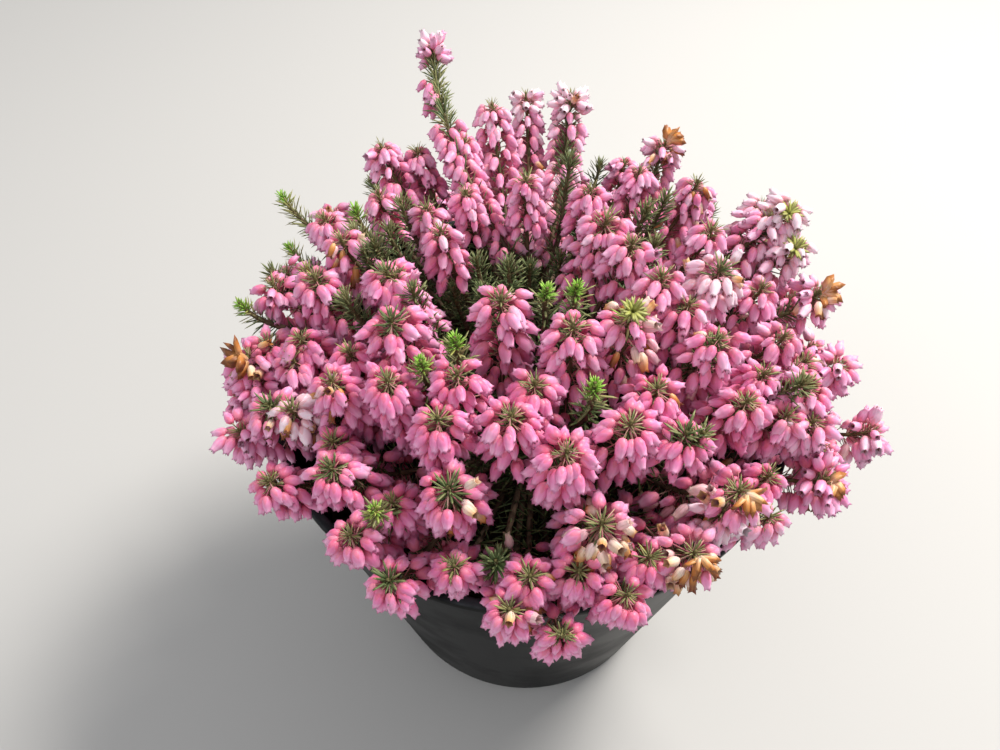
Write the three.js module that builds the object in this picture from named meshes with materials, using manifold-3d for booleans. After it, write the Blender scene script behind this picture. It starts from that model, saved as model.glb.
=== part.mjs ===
// Low winter-flowering heath in a round nursery pot. Millimetres, +Z up, the pot's base on Z = 0.
import * as THREE from "three";
import { mergeVertices } from "three/addons/utils/BufferGeometryUtils.js";
import Module from "manifold-3d";

// Pot
const POT_HEIGHT = 118;
const RIM_RADIUS = 75;
const RIM_BAND = 3;
const RIM_STEP = 1.2;
const BASE_RADIUS = 49;
const WALL = 1.8;
const FLOOR = 3;
const FOOT_RADIUS = 3;
const DRAIN_RADIUS = 4;
const DRAIN_RING = 34;
const DRAINS = 6;
const POT_SIDES = 44;

// Compost
const SOIL_TOP = 104;
const HOLE_DEPTH = 24;
const FIT = 0.3;

// Bush: height of the dome of tips over the pot's axis and at its edge
const DOME_REACH = 95;
const DOME_EDGE = 108;
const DOME_RISE = 62;

// Lean of a tip over the horizontal, in degrees: at the axis, and its fall for each millimetre of reach
const LEAN_TOP = 88;
const LEAN_FALL = 0.72;
const LEAN_BREAK = 60;
const LEAN_EDGE = 1.1;

// Extra rise of the tips on the -Y side, in degrees: full up to one reach and gone at another
const FRONT_LIFT = 24;
const LIFT_FULL = 60;
const LIFT_GONE = 84;

// Stems
const BRANCHES = 6;
const STEM_RING = 21;
const STEM_RADIUS = 2.2;
const STEM_SIDES = 5;
const LEADER_REACH = 25;
const LEADER_TOP = 124;
const TWIG_RADIUS = 0.95;
const TWIG_SIDES = 4;

// Tufts at the flowered tips, and the leafy tips
const TUFT_LENGTH = 4.5;
const TUFT_ROWS = 2;
const TUFT_RADIUS = 1.25;
const NEEDLE = 6.5;
const TIP_NEEDLE = 4.4;
const SHOOT_ROW = 4.2;

// Flower rods: a sleeve of bells round the twig
const SLEEVE_RADIUS = 3;
const BORE_RADIUS = TWIG_RADIUS + FIT / Math.cos(Math.PI / TWIG_SIDES);
const ROW = 8.2;
const CELL = 5;
const MOUTH = 5.4;
const DROOP = 0.33;
const BELL_SIZES = [1, 0.8, 0.62];
const BELL_TURNS = [[1, 0], [0.4, 0], [1.5, 0], [0.8, 0.35], [0.8, -0.35], [-0.4, 0]];

// Flowered tips: azimuth in degrees, reach from the pot's axis, lift over the dome, rod length, rod radius
const FLOWERED = [
  [275, 58, 2, 30, 9],
  [252, 66, 0, 34, 9.5],
  [262, 50, 0, 32, 9],
  [291, 54, 0, 34, 9],
  [280, 71, 2, 22, 9.5],
  [302, 60, 0, 26, 8.5],
  [307, 74, 0, 34, 9.5],
  [295, 79, 0, 32, 9.5],
  [283, 82, 0, 30, 8.5],
  [273, 86, -2, 28, 8],
  [265, 83, 0, 28, 8.5],
  [246, 83, 0, 28, 8],
  [229, 72, 0, 36, 8.5],
  [237, 79, -2, 28, 8],
  [218, 82, 0, 30, 8],
  [245, 54, 0, 26, 8.5],
  [228, 52, 0, 32, 8.5],
  [216, 60, 0, 28, 8],
  [214, 42, 0, 34, 9.5],
  [191, 78, 0, 38, 9],
  [207, 75, 0, 32, 8.5],
  [203, 85, 0, 30, 8],
  [174, 73, 0, 34, 8.5],
  [182, 57, 0, 32, 8],
  [172, 51, 2, 28, 7.5],
  [192, 38, 0, 28, 8],
  [158, 63, 2, 34, 8],
  [132, 66, 10, 40, 8],
  [111, 81, 39.5, 66, 7],
  [101, 60, 13, 46, 8.5],
  [91, 72, 18, 46, 7.5],
  [80, 70, 18, 50, 8],
  [54, 69, 9, 42, 8.5],
  [38, 60, 2, 36, 8],
  [20, 77, 15, 44, 9],
  [4, 80, 6, 38, 8],
  [352, 46, 2, 38, 9],
  [338, 74, 0, 34, 8.5],
  [343, 99, 19, 40, 8.5],
  [329, 88, 0, 34, 8.5],
  [322, 62, -3, 34, 8.5],
  [328, 50, 0, 34, 8.5],
  [350, 84, 3, 36, 7.5],
  [305, 47, -5, 28, 8.5],
  [311, 32, 0, 34, 9],
  [285, 29, 0, 32, 9],
  [246, 22, 0, 34, 8.5],
  [25, 20, 0, 34, 9],
  [140, 84, 0, 32, 8.5],
  [60, 86, 0, 34, 8.5],
  [98, 90, 4, 30, 8],
  [30, 88, 3, 34, 8.5],
];

// Leafy tips without flowers: azimuth in degrees, reach, lift, leafy length
const LEAFY = [
  [262, 73, 0, 18],
  [240, 74, 0, 16],
  [284, 44, 0, 16],
  [294, 18, 2, 12],
  [240, 32, 0, 14],
  [160, 34, 0, 22],
  [150, 46, 0, 20],
  [150, 82, 15, 18],
  [178, 85, 0, 12],
  [190, 14, 0, 18],
  [75, 42, 0, 22],
  [32, 42, 0, 20],
  [233, 45, 0, 16],
  [120, 89, 2, 26],
  [80, 90, 0, 26],
  [46, 88, 0, 26],
  [130, 78, 0, 24],
  [108, 80, -6, 20],
  [72, 78, -4, 24],
  [90, 66, -8, 20],
];

const RADIANS = Math.PI / 180;
const UP = new THREE.Vector3(0, 0, 1);
const wasm = await Module();
wasm.setup();

function domeHeight(reach) {
  const share = Math.max(0, 1 - (reach / DOME_REACH) ** 2.6);
  return DOME_EDGE + DOME_RISE * share ** 0.62;
}

function leanAt(azimuth, reach) {
  const beyond = Math.max(0, reach - LEAN_BREAK);
  const lean = LEAN_TOP - LEAN_FALL * (reach - beyond) - LEAN_EDGE * beyond;
  const front = Math.max(0, -Math.sin(azimuth * RADIANS));
  const share = THREE.MathUtils.clamp((LIFT_GONE - reach) / (LIFT_GONE - LIFT_FULL), 0, 1);
  return Math.min(LEAN_TOP, lean + FRONT_LIFT * front * share);
}

function polar(azimuth, reach, z) {
  const a = azimuth * RADIANS;
  return new THREE.Vector3(reach * Math.cos(a), reach * Math.sin(a), z);
}

function solidOf(geometry) {
  const bare = geometry.clone();
  bare.deleteAttribute("normal");
  bare.deleteAttribute("uv");
  const merged = mergeVertices(bare, 1e-4);
  return new wasm.Manifold(
    new wasm.Mesh({
      numProp: 3,
      vertProperties: merged.attributes.position.array,
      triVerts: new Uint32Array(merged.index.array),
    }),
  );
}

function geometryOf(solid) {
  const mesh = solid.getMesh();
  const geometry = new THREE.BufferGeometry();
  const points = new Float32Array(mesh.numVert * 3);
  for (let i = 0; i < mesh.numVert; i++) {
    const at = i * mesh.numProp;
    points.set(mesh.vertProperties.subarray(at, at + 3), i * 3);
  }
  geometry.setAttribute("position", new THREE.BufferAttribute(points, 3));
  geometry.setIndex(new THREE.BufferAttribute(new Uint32Array(mesh.triVerts), 1));
  return geometry;
}

// A closed surface built up ring by ring; rings run anticlockwise seen against the axis.
class Skin {
  constructor() {
    this.points = [];
    this.faces = [];
  }

  point(p) {
    return this.points.push(p) - 1;
  }

  ring(frame, radius, sides, turn = 0) {
    return Array.from({ length: sides }, (_, k) => {
      const a = ((k + 0.5) / sides) * 2 * Math.PI + turn;
      const p = frame.at.clone();
      p.addScaledVector(frame.u, radius * Math.cos(a));
      p.addScaledVector(frame.v, radius * Math.sin(a));
      return this.point(p);
    });
  }

  quad(a, b, c, d) {
    this.faces.push([a, b, c], [a, c, d]);
  }

  band(low, high) {
    low.forEach((a, k) => {
      const next = (k + 1) % low.length;
      this.quad(a, low[next], high[next], high[k]);
    });
  }

  // Joins two rings of which the upper is turned by half a side.
  weave(low, high) {
    low.forEach((a, k) => {
      const next = (k + 1) % low.length;
      this.faces.push([a, low[next], high[k]], [high[k], low[next], high[next]]);
    });
  }

  cone(ring, apex) {
    const tip = this.point(apex);
    ring.forEach((a, k) => this.faces.push([a, ring[(k + 1) % ring.length], tip]));
  }

  lid(ring) {
    for (let k = 1; k + 1 < ring.length; k++) {
      this.faces.push([ring[0], ring[k], ring[k + 1]]);
    }
  }

  corners(list) {
    return list.map((i) => this.points[i]);
  }

  geometry() {
    const flat = this.points.flatMap((p) => [p.x, p.y, p.z]);
    const geometry = new THREE.BufferGeometry();
    geometry.setAttribute("position", new THREE.Float32BufferAttribute(flat, 3));
    geometry.setIndex(this.faces.flat());
    return geometry;
  }
}

// Frames along a curve, each turned from the last by the least amount.
function framesAlong(curve, count) {
  const frames = [];
  let u = null;
  for (let i = 0; i <= count; i++) {
    const at = curve.getPoint(i / count);
    const w = curve.getTangent(i / count).normalize();
    const seed = u ?? new THREE.Vector3(0.31, 0.52, 0.79);
    u = seed.clone().addScaledVector(w, -seed.dot(w)).normalize();
    frames.push({ at, w, u, v: new THREE.Vector3().crossVectors(w, u) });
  }
  return frames;
}

function shifted(frame, distance) {
  return { ...frame, at: frame.at.clone().addScaledVector(frame.w, distance) };
}

// Convex pieces already placed, each with the node that it belongs to.
const placed = [];

function hullOf(node, owner, points, core = false) {
  const centre = points.reduce((sum, p) => sum.add(p), new THREE.Vector3());
  centre.divideScalar(points.length);
  const radius = Math.max(...points.map((p) => p.distanceTo(centre)));
  return { node, owner, core, points, centre, radius };
}

function gapAlong(axis, a, b) {
  const spanA = a.points.map((p) => p.dot(axis));
  const spanB = b.points.map((p) => p.dot(axis));
  return Math.max(
    Math.min(...spanB) - Math.max(...spanA),
    Math.min(...spanA) - Math.max(...spanB),
  );
}

// True when some plane keeps two convex pieces the given gap apart.
function apart(a, b, gap) {
  const between = b.centre.clone().sub(a.centre);
  if (between.length() > a.radius + b.radius + gap) {
    return true;
  }
  if (gapAlong(between.normalize(), a, b) >= gap) {
    return true;
  }
  const edges = [a, b].map(({ points }) => {
    const half = points.length >> 1;
    return points.flatMap((p, i) => [
      points[(i + 1) % points.length].clone().sub(p),
      points[(i + half) % points.length].clone().sub(p),
    ]);
  });
  const axes = [...edges[0], ...edges[1]].flatMap((e, i, all) =>
    all.slice(i + 1).map((f) => new THREE.Vector3().crossVectors(e, f)),
  );
  return axes.some((axis) => {
    const length = axis.length();
    return length > 1e-3 && gapAlong(axis.divideScalar(length), a, b) >= gap;
  });
}

// True when a piece keeps off the pot and the compost.
function clearOfPot(points) {
  const clear = (q) => {
    const reach = Math.hypot(q.x, q.y);
    const inside = reach < RIM_RADIUS - 5 && q.z > SOIL_TOP + 0.6;
    return q.z > POT_HEIGHT + 0.5 || reach > RIM_RADIUS + 0.6 || inside;
  };
  if (points.every((p) => p.z > POT_HEIGHT + 0.5)) {
    return true;
  }
  return points.every((p, i) =>
    points.slice(i).every((next) => {
      const steps = Math.ceil(p.distanceTo(next)) + 1;
      return Array.from({ length: steps }).every((_, k) => clear(p.clone().lerp(next, k / steps)));
    }),
  );
}

function isClear(hull) {
  const gapTo = (other) => {
    if (other.owner === hull.owner) {
      return -0.03;
    }
    return other.node === hull.node ? 0.05 : FIT;
  };
  return (
    clearOfPot(hull.points) &&
    placed.every((other) => {
      const grownFrom = other.owner === hull.owner && other.core;
      return grownFrom || apart(hull, other, gapTo(other));
    })
  );
}

function latheSolid(profile, sides) {
  const points = profile.map(([r, z]) => new THREE.Vector2(r, z));
  const geometry = new THREE.LatheGeometry(points, sides);
  geometry.rotateX(Math.PI / 2);
  return solidOf(geometry);
}

function post(radius, low, high, x, y, sides) {
  const geometry = new THREE.CylinderGeometry(radius, radius, high - low, sides);
  geometry.rotateX(Math.PI / 2);
  geometry.translate(x, y, (low + high) / 2);
  return solidOf(geometry);
}

function wallRadius(z) {
  const top = RIM_RADIUS - RIM_STEP;
  return BASE_RADIUS + ((top - BASE_RADIUS) * z) / POT_HEIGHT;
}

function makePot() {
  const bandLow = POT_HEIGHT - RIM_BAND;
  const profile = [
    [0, 0],
    [BASE_RADIUS - FOOT_RADIUS, 0],
    [BASE_RADIUS - 0.6, 0.8],
    [wallRadius(FOOT_RADIUS), FOOT_RADIUS],
    [wallRadius(bandLow - 1), bandLow - 1],
    [RIM_RADIUS - 0.9, bandLow],
    [RIM_RADIUS, POT_HEIGHT - 1.2],
    [RIM_RADIUS - 0.6, POT_HEIGHT],
    [RIM_RADIUS - 2.2, POT_HEIGHT],
    [RIM_RADIUS - 2.8, POT_HEIGHT - 1.2],
    [wallRadius(bandLow - 3) - WALL, bandLow - 3],
    [wallRadius(FLOOR) - WALL, FLOOR],
    [0, FLOOR],
  ];
  const drains = Array.from({ length: DRAINS }, (_, k) => {
    const at = polar((k + 0.5) * (360 / DRAINS), DRAIN_RING, 0);
    return post(DRAIN_RADIUS, -1, FLOOR + 1, at.x, at.y, 12);
  });
  return wasm.Manifold.difference([latheSolid(profile, POT_SIDES), ...drains]);
}

function stemFoot(branch) {
  return polar((branch + 0.5) * (360 / BRANCHES), STEM_RING, SOIL_TOP - HOLE_DEPTH + FIT);
}

function makeSoil() {
  const inner = (z) => wallRadius(z) - WALL - FIT;
  const low = FLOOR + FIT;
  const profile = [
    [0, low],
    [inner(low) - 1, low],
    [inner(low + 1), low + 1],
    [inner(SOIL_TOP - 2), SOIL_TOP - 2],
    [inner(SOIL_TOP - 2) - 3, SOIL_TOP],
    [0, SOIL_TOP],
  ];
  const radius = (STEM_RADIUS + FIT) / Math.cos(Math.PI / 12) + 0.1;
  const holes = Array.from({ length: BRANCHES }, (_, k) => {
    const at = stemFoot(k);
    return post(radius, SOIL_TOP - HOLE_DEPTH, SOIL_TOP + 1, at.x, at.y, 12);
  });
  return wasm.Manifold.difference([latheSolid(profile, 36), ...holes]);
}

// Leader of a branch: upright through the compost, then leaning out.
function leaderCurve(branch) {
  const azimuth = (branch + 0.5) * (360 / BRANCHES);
  const foot = stemFoot(branch);
  return new THREE.CatmullRomCurve3([
    foot,
    polar(azimuth, STEM_RING, SOIL_TOP + 2),
    polar(azimuth, STEM_RING + 3, SOIL_TOP + 14),
    polar(azimuth, LEADER_REACH, LEADER_TOP),
  ]);
}

function addLeader(node, branch) {
  const skin = new Skin();
  const frames = framesAlong(leaderCurve(branch), 5);
  const rings = frames.map((frame, i) => {
    const radius = STEM_RADIUS * (1 - 0.35 * (i / 5));
    return skin.ring(frame, radius, STEM_SIDES);
  });
  skin.faces.push(...lidFaces(rings[0]));
  rings.slice(1).forEach((ring, i) => {
    skin.band(rings[i], ring);
    placed.push(hullOf(node, "leader", skin.corners([...rings[i], ...ring]), true));
  });
  skin.lid(rings.at(-1));
  return skin;
}

function lidFaces(ring) {
  return ring.slice(2).map((c, k) => [ring[0], c, ring[k + 1]]);
}

// The twig of one tip: a bend from the leader, then straight to the tip along its lean.
function twigPath(tip, branch) {
  const lean = tip.lean * RADIANS;
  const end = polar(tip.azimuth, tip.reach, tip.z);
  const out = polar(tip.azimuth, 1, 0);
  const axis = out.multiplyScalar(Math.cos(lean)).addScaledVector(UP, Math.sin(lean));
  const start = end.clone().addScaledVector(axis, -tip.length);
  const leader = leaderCurve(branch);
  const share = THREE.MathUtils.clamp((start.z - 105) / 35, 0.02, 0.98);
  const root = leader.getPoint(0.45 + 0.53 * share);
  const run = start.distanceTo(root);
  const away = start.clone().sub(root).normalize().addScaledVector(UP, 0.35).normalize();
  const bend = new THREE.CubicBezierCurve3(
    root,
    root.clone().addScaledVector(away, run * 0.35),
    start.clone().addScaledVector(axis, -run * 0.35),
    start,
  );
  return { bend, axis, start, end, run };
}

function tipOf([azimuth, reach, lift, length, spread]) {
  return {
    azimuth,
    reach,
    z: domeHeight(reach) + lift,
    lean: leanAt(azimuth, reach),
    length: spread ? length + TUFT_LENGTH : length,
    rod: spread ? length : 0,
    spread,
    branch: Math.floor(azimuth / (360 / BRANCHES)),
  };
}

// A needle grows from each cell between two rings when it is clear; the cell is closed otherwise.
function needles(skin, tip, low, high, frame, forward, length) {
  low.forEach((a, k) => {
    const next = (k + 1) % low.length;
    const cell = [a, low[next], high[next], high[k]];
    const corners = skin.corners(cell);
    const centre = corners.reduce((sum, p) => sum.add(p), new THREE.Vector3()).divideScalar(4);
    const out = centre.clone().sub(frame.at);
    out.addScaledVector(frame.w, -out.dot(frame.w)).normalize();
    const tries = [forward, forward + 0.45, forward - 0.35].flatMap((lean) =>
      [1, 0.72].map((part) => {
        const way = out.clone().addScaledVector(frame.w, lean).normalize();
        return centre.clone().addScaledVector(way, length * part);
      }),
    );
    const needle = (p) => hullOf(tip.twig, tip, [...corners, p, p]);
    const apex = tries.find((p) => isClear(needle(p)));
    if (apex) {
      placed.push(needle(apex));
      skin.cone(cell, apex);
    } else {
      skin.quad(...cell);
    }
  });
}

function addTwig(skin, node, tip) {
  const { bend, axis, start, end, run } = tip.path;
  const steps = Math.max(2, Math.round(run / 14));
  const frames = framesAlong(bend, steps);
  const last = frames.at(-1);
  last.w = axis;
  const sides = TWIG_SIDES;
  let ring = skin.ring(frames[0], TWIG_RADIUS, sides);
  skin.faces.push(...lidFaces(ring));
  const advance = (next) => {
    skin.band(ring, next);
    placed.push(hullOf(node, tip, skin.corners([...ring, ...next]), true));
    ring = next;
  };
  frames.slice(1).forEach((frame) => advance(skin.ring(frame, TWIG_RADIUS, sides)));
  tip.frame = { ...last, at: start };
  tip.end = end;
  if (tip.rod) {
    advance(skin.ring(shifted(tip.frame, tip.rod + FIT), TWIG_RADIUS, sides));
  }
  tip.tuftRing = ring;
  const from = tip.rod ? tip.rod + FIT : 0;
  const core = new Skin();
  const ends = [from, tip.length].flatMap((s, i) =>
    core.ring(shifted(tip.frame, s), TUFT_RADIUS * (i ? 0.6 : 1.08), 8),
  );
  placed.push(hullOf(node, tip, core.corners(ends), true));
}

function addTuft(skin, tip) {
  const rows = tip.rod ? TUFT_ROWS : Math.max(2, Math.round(tip.length / SHOOT_ROW));
  const from = tip.rod ? tip.rod + FIT : 0;
  const pitch = (tip.length - from - 2) / rows;
  let low = tip.tuftRing;
  for (let row = 0; row < rows; row++) {
    const frame = shifted(tip.frame, from + pitch * (row + 0.5));
    const radius = TUFT_RADIUS * (1 - 0.25 * (row / rows));
    const edge = shifted(tip.frame, from + pitch * (row + 1));
    const high = skin.ring(edge, radius, TWIG_SIDES, ((row + 1) * Math.PI) / 8);
    const forward = tip.rod ? 0.25 + 0.75 * (row / rows) : 0.55 + 0.5 * (row / rows);
    needles(skin, tip, low, high, frame, forward, tip.rod ? TIP_NEEDLE : NEEDLE);
    low = high;
  }
  skin.cone(low, tip.end.clone());
}

// A rod's sleeve, shortened from its lower end until it is clear of what is placed.
function fitSleeve(tip, node) {
  const spare = (ROW - CELL) / 2;
  for (let rows = Math.floor((tip.rod + spare) / ROW); rows >= 2; rows--) {
    const from = tip.rod - rows * ROW + spare;
    const skin = new Skin();
    const low = skin.ring(shifted(tip.frame, from), SLEEVE_RADIUS, 4);
    const high = skin.ring(shifted(tip.frame, tip.rod), SLEEVE_RADIUS, 4);
    const turned = skin.ring(shifted(tip.frame, from), SLEEVE_RADIUS, 4, Math.PI / 4);
    const above = skin.ring(shifted(tip.frame, tip.rod), SLEEVE_RADIUS, 4, Math.PI / 4);
    const hulls = [
      hullOf(node, node, skin.corners([...low, ...high]), true),
      hullOf(node, node, skin.corners([...turned, ...above]), true),
    ];
    const others = placed.filter((other) => other.owner !== tip);
    const free = hulls.every(
      (hull) => clearOfPot(hull.points) && others.every((other) => apart(hull, other, FIT)),
    );
    if (free) {
      placed.push(...hulls);
      return { rows, from };
    }
  }
  throw new Error("no room for " + node);
}

// A bell grows from a cell of the sleeve, turned or shortened until it is clear.
function bell(skin, node, cell, frame, spread) {
  const corners = skin.corners(cell);
  const centre = corners.reduce((sum, p) => sum.add(p), new THREE.Vector3()).divideScalar(4);
  const out = centre.clone().sub(frame.at);
  out.addScaledVector(frame.w, -out.dot(frame.w)).normalize();
  const side = new THREE.Vector3().crossVectors(frame.w, out);
  const base = SLEEVE_RADIUS * Math.cos(Math.PI / 4);
  const variants = BELL_SIZES.flatMap((part) => BELL_TURNS.map((turn) => [part, ...turn]));
  for (const [part, droop, swing] of variants) {
    const fall = -DROOP * droop;
    const way = out.clone().addScaledVector(UP, fall).addScaledVector(frame.w, fall);
    way.addScaledVector(side, swing).normalize();
    const rise = way.dot(out);
    if (rise < 0.6) {
      continue;
    }
    const length = ((spread - base) * part) / Math.max(rise, 0.8);
    const mouthAt = centre.clone().addScaledVector(way, length);
    const across = new THREE.Vector3().crossVectors(frame.w, way).normalize();
    const along = new THREE.Vector3().crossVectors(way, across).normalize();
    const half = (MOUTH / 2) * (0.55 + 0.45 * part);
    const mouth = [[-1, -1], [1, -1], [1, 1], [-1, 1]].map(([a, b]) =>
      mouthAt.clone().addScaledVector(across, a * half).addScaledVector(along, b * half),
    );
    const hull = hullOf(node, node, [...corners, ...mouth]);
    if (isClear(hull)) {
      placed.push(hull);
      const ring = mouth.map((p) => skin.point(p));
      skin.band(cell, ring);
      skin.lid(ring);
      return;
    }
  }
  skin.quad(...cell);
}

function addRod(tip, node, { rows, from }) {
  const skin = new Skin();
  const bore = [from, tip.rod].map((s) => skin.ring(shifted(tip.frame, s), BORE_RADIUS, 4));
  const first = skin.ring(shifted(tip.frame, from), SLEEVE_RADIUS, 4);
  skin.band(first, bore[0]);
  skin.band(bore[0], bore[1]);
  skin.faces = skin.faces.map(([a, b, c]) => [a, c, b]);
  let low = first;
  for (let row = 0; row < rows; row++) {
    const turn = (row * Math.PI) / 4;
    const top = row === rows - 1;
    const s = from + row * ROW;
    const end = top ? tip.rod : s + CELL;
    const high = skin.ring(shifted(tip.frame, end), SLEEVE_RADIUS, 4, turn);
    const frame = shifted(tip.frame, (s + end) / 2);
    low.forEach((a, k) => {
      const next = (k + 1) % 4;
      const cell = [a, low[next], high[next], high[k]];
      bell(skin, node, cell, frame, tip.spread);
    });
    low = high;
    if (!top) {
      const turned = skin.ring(shifted(tip.frame, s + ROW), SLEEVE_RADIUS, 4, turn + Math.PI / 4);
      skin.weave(high, turned);
      low = turned;
    }
  }
  skin.band(low, spun(bore[1], rows - 1));
  return skin;
}

// The bore's ring, renumbered to meet an outer ring that is turned by so many eighths of a turn.
function spun(ring, eighths) {
  const by = Math.floor(eighths / 2);
  return ring.map((_, k) => ring[(k + by) % 4]);
}

const group = new THREE.Group();

function addMesh(name, geometry, color, roughness) {
  const material = new THREE.MeshStandardMaterial({ color, roughness, metalness: 0 });
  const mesh = new THREE.Mesh(geometry, material);
  mesh.name = name;
  group.add(mesh);
}

addMesh("pot", geometryOf(makePot()), 0x2a2d2c, 0.55);
addMesh("soil", geometryOf(makeSoil()), 0x3a2a1e, 0.95);

const tips = [...FLOWERED, ...LEAFY].map(tipOf);
const named = (word, k) => word + "_" + String(k + 1).padStart(2, "0");
const skins = Array.from({ length: BRANCHES }, () => []);
for (let branch = 0; branch < BRANCHES; branch++) {
  skins[branch].push(addLeader(named("branch", branch), branch));
}
tips.forEach((tip) => {
  tip.twig = named("branch", tip.branch);
  tip.path = twigPath(tip, tip.branch);
  tip.skin = new Skin();
  addTwig(tip.skin, tip.twig, tip);
  skins[tip.branch].push(tip.skin);
});

const flowered = tips.filter((tip) => tip.rod);
flowered.forEach((tip, k) => {
  tip.node = named("bloom", k);
  tip.fit = fitSleeve(tip, tip.node);
});
tips.forEach((tip) => addTuft(tip.skin, tip));
flowered.forEach((tip) => {
  addMesh(tip.node, addRod(tip, tip.node, tip.fit).geometry(), 0xe1699f, 0.55);
});
skins.forEach((list, branch) => {
  const solid = wasm.Manifold.union(list.map((skin) => solidOf(skin.geometry())));
  addMesh(named("branch", branch), geometryOf(solid), 0x5a7345, 0.7);
});

export default group;
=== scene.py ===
"""Low winter-flowering heath in a round nursery pot. Metres, +Z up, the pot's base on Z = 0."""

import math

import bpy
import numpy as np
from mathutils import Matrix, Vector
from mathutils.geometry import delaunay_2d_cdt


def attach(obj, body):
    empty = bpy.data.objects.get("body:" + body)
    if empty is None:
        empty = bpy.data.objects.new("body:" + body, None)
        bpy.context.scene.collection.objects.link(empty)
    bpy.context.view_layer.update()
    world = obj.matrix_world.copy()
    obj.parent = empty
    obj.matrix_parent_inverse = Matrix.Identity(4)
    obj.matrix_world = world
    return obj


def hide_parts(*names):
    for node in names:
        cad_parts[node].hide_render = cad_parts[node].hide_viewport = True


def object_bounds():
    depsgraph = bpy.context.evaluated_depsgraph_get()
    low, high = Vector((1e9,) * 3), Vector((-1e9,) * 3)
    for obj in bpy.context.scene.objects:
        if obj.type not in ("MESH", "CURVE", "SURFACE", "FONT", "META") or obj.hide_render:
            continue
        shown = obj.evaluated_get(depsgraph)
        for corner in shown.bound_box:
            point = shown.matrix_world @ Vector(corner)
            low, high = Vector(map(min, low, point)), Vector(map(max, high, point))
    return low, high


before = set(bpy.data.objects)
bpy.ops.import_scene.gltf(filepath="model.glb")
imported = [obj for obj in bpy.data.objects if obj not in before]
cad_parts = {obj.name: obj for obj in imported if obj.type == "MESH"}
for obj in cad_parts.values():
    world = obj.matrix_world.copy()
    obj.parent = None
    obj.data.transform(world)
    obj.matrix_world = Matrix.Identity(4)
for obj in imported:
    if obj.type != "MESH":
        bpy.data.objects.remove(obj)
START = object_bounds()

MM = 0.001

# The solids' box less a margin, in millimetres; the growth stays inside it
BOX_MARGIN = 0.1
LOW = np.array([float(x) for x in START[0]]) / MM + BOX_MARGIN
HIGH = np.array([float(x) for x in START[1]]) / MM - BOX_MARGIN
rng = np.random.default_rng(41)

# Pot and compost, in millimetres
POT_HEIGHT = 118.0
RIM_RADIUS = 75.0
RIM_STEP = 1.2
RIM_BAND = 3.0
RIM_LIP = 2.8
BASE_RADIUS = 49.0
WALL = 1.8
FLOOR = 3.0
FLOOR_RADIUS = BASE_RADIUS - 6
FOOT_RADIUS = 3.0
CORNER_ROUND = 1.1
POT_SIDES = 160
DRAIN_RADIUS = 4.0
DRAIN_RING = 34.0
DRAIN_SIDES = 24
DRAINS = 6
SOIL_TOP = 104.0
SOIL_SIDES = 120
SOIL_RINGS = 60
SOIL_WAVES = ((0.09, 0.9), (0.35, 0.5), (0.9, 0.35), (2.1, 0.25))

# Bush, in millimetres and degrees
DOME_REACH = 95.0
DOME_EDGE = 108.0
DOME_RISE = 62.0
DOME_POWER = 2.6
DOME_ROUND = 0.62
LEAN_TOP = 88.0
LEAN_FALL = 0.72
LEAN_BREAK = 60.0
LEAN_EDGE = 1.1
FRONT_LIFT = 24.0
LIFT_FULL = 60.0
LIFT_GONE = 84.0
BRANCHES = 6
STEM_RING = 21.0
STEM_RADIUS = 2.2
STEM_STEPS, STEM_SIDES = 14, 10
STEM_SUNK, STEM_RISE, STEM_BEND, STEM_OUT = 8, 2, 14, 3
LEADER_REACH = 25.0
LEADER_TOP = 124.0
SUN = np.array([0.1, -0.6, 0.78])
UP = np.array([0, 0, 1.0])

# A spike's run; the facing ones stand far out at the front and turn up to the sun
FACING_REACH = 68.0
FACING_SIDE = -0.55
FACING_BEND, TIP_BEND = 20.0, 14.0
FACING_TURN, TIP_TURN = 60.0, 48.0
TURN_POWER = 1.3
TURN_SHARE = 0.8
TUFT_LENGTH = 4.5
TIP_ROOM = 3.0
FLAT_DROP = 2.8
FLAT_FROM, FLAT_FALL = 1.5, 2.2
SPIKE_STEPS, FOOT_STEPS = 15, 9
FORK_HEIGHT, FORK_SPAN = 105.0, 35.0
FORK_PLACE, FORK_RUN = 0.45, 0.53
FOOT_PULL = 0.35
FOOT_LIFT = 0.35
BOW, TALL_BOW = 0.7, -4.5
TWIG_SIDES = 6

# Leaves: the tuft that counts as large, the brightest shoots, the shift to lime and the golden angle
BIG_TUFT = 1.2
BRIGHT = 0.75
LIME_SHIFT = 0.22
GOLDEN = math.radians(137.5)

# A copy's move and shrinking to stay in the box, and its room to the pot's wall and rim, in millimetres
NUDGE = 2.0
LEAST_FIT = 0.55
WALL_ROOM, RIM_INSIDE, RIM_ROOM = 1.5, 4.0, 0.4

# Bells, in millimetres, radians and shares of their size
BELL = 5.3
BELL_LEAST, BELL_MOST = 0.8, 1.1
BELL_SIDES = 8
BELL_LIP = 1.05
BELL_NOTCH = 0.94
BELL_FOOT = 0.07
WHORL = 2.7
STALK_RADIUS = 0.16
INNER_DEPTH = 27.0
INNER_REACH = 65.0
LOWER_DEPTH = 14.2
WHOLE = 99.0
OLD_DEPTH = 13.0
DRY_AGE = 0.68
CROWN_DEPTH = 9.0
TIP_GAP = 1.2
SLIP, SWAY, TILT = 0.9, 0.32, 0.28
REAR = 0.6
NECK, NECK_BELLS = (5.5, 27), (10, 19)

# Light, stage and camera, in metres
STAGE = 15
SKY_COLOUR, SKY_STRENGTH = (0.95, 0.97, 1.0, 1), 0.55
LAMP_TARGET = Vector((0, 0, 0.12))
ELEVATION = math.radians(49.4)
DISTANCE = 0.250
TARGET = Vector((-0.0092, 0.0, 0.1173))
LENS, SENSOR, NEAREST = 30.6, 36.0, 0.01

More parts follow.
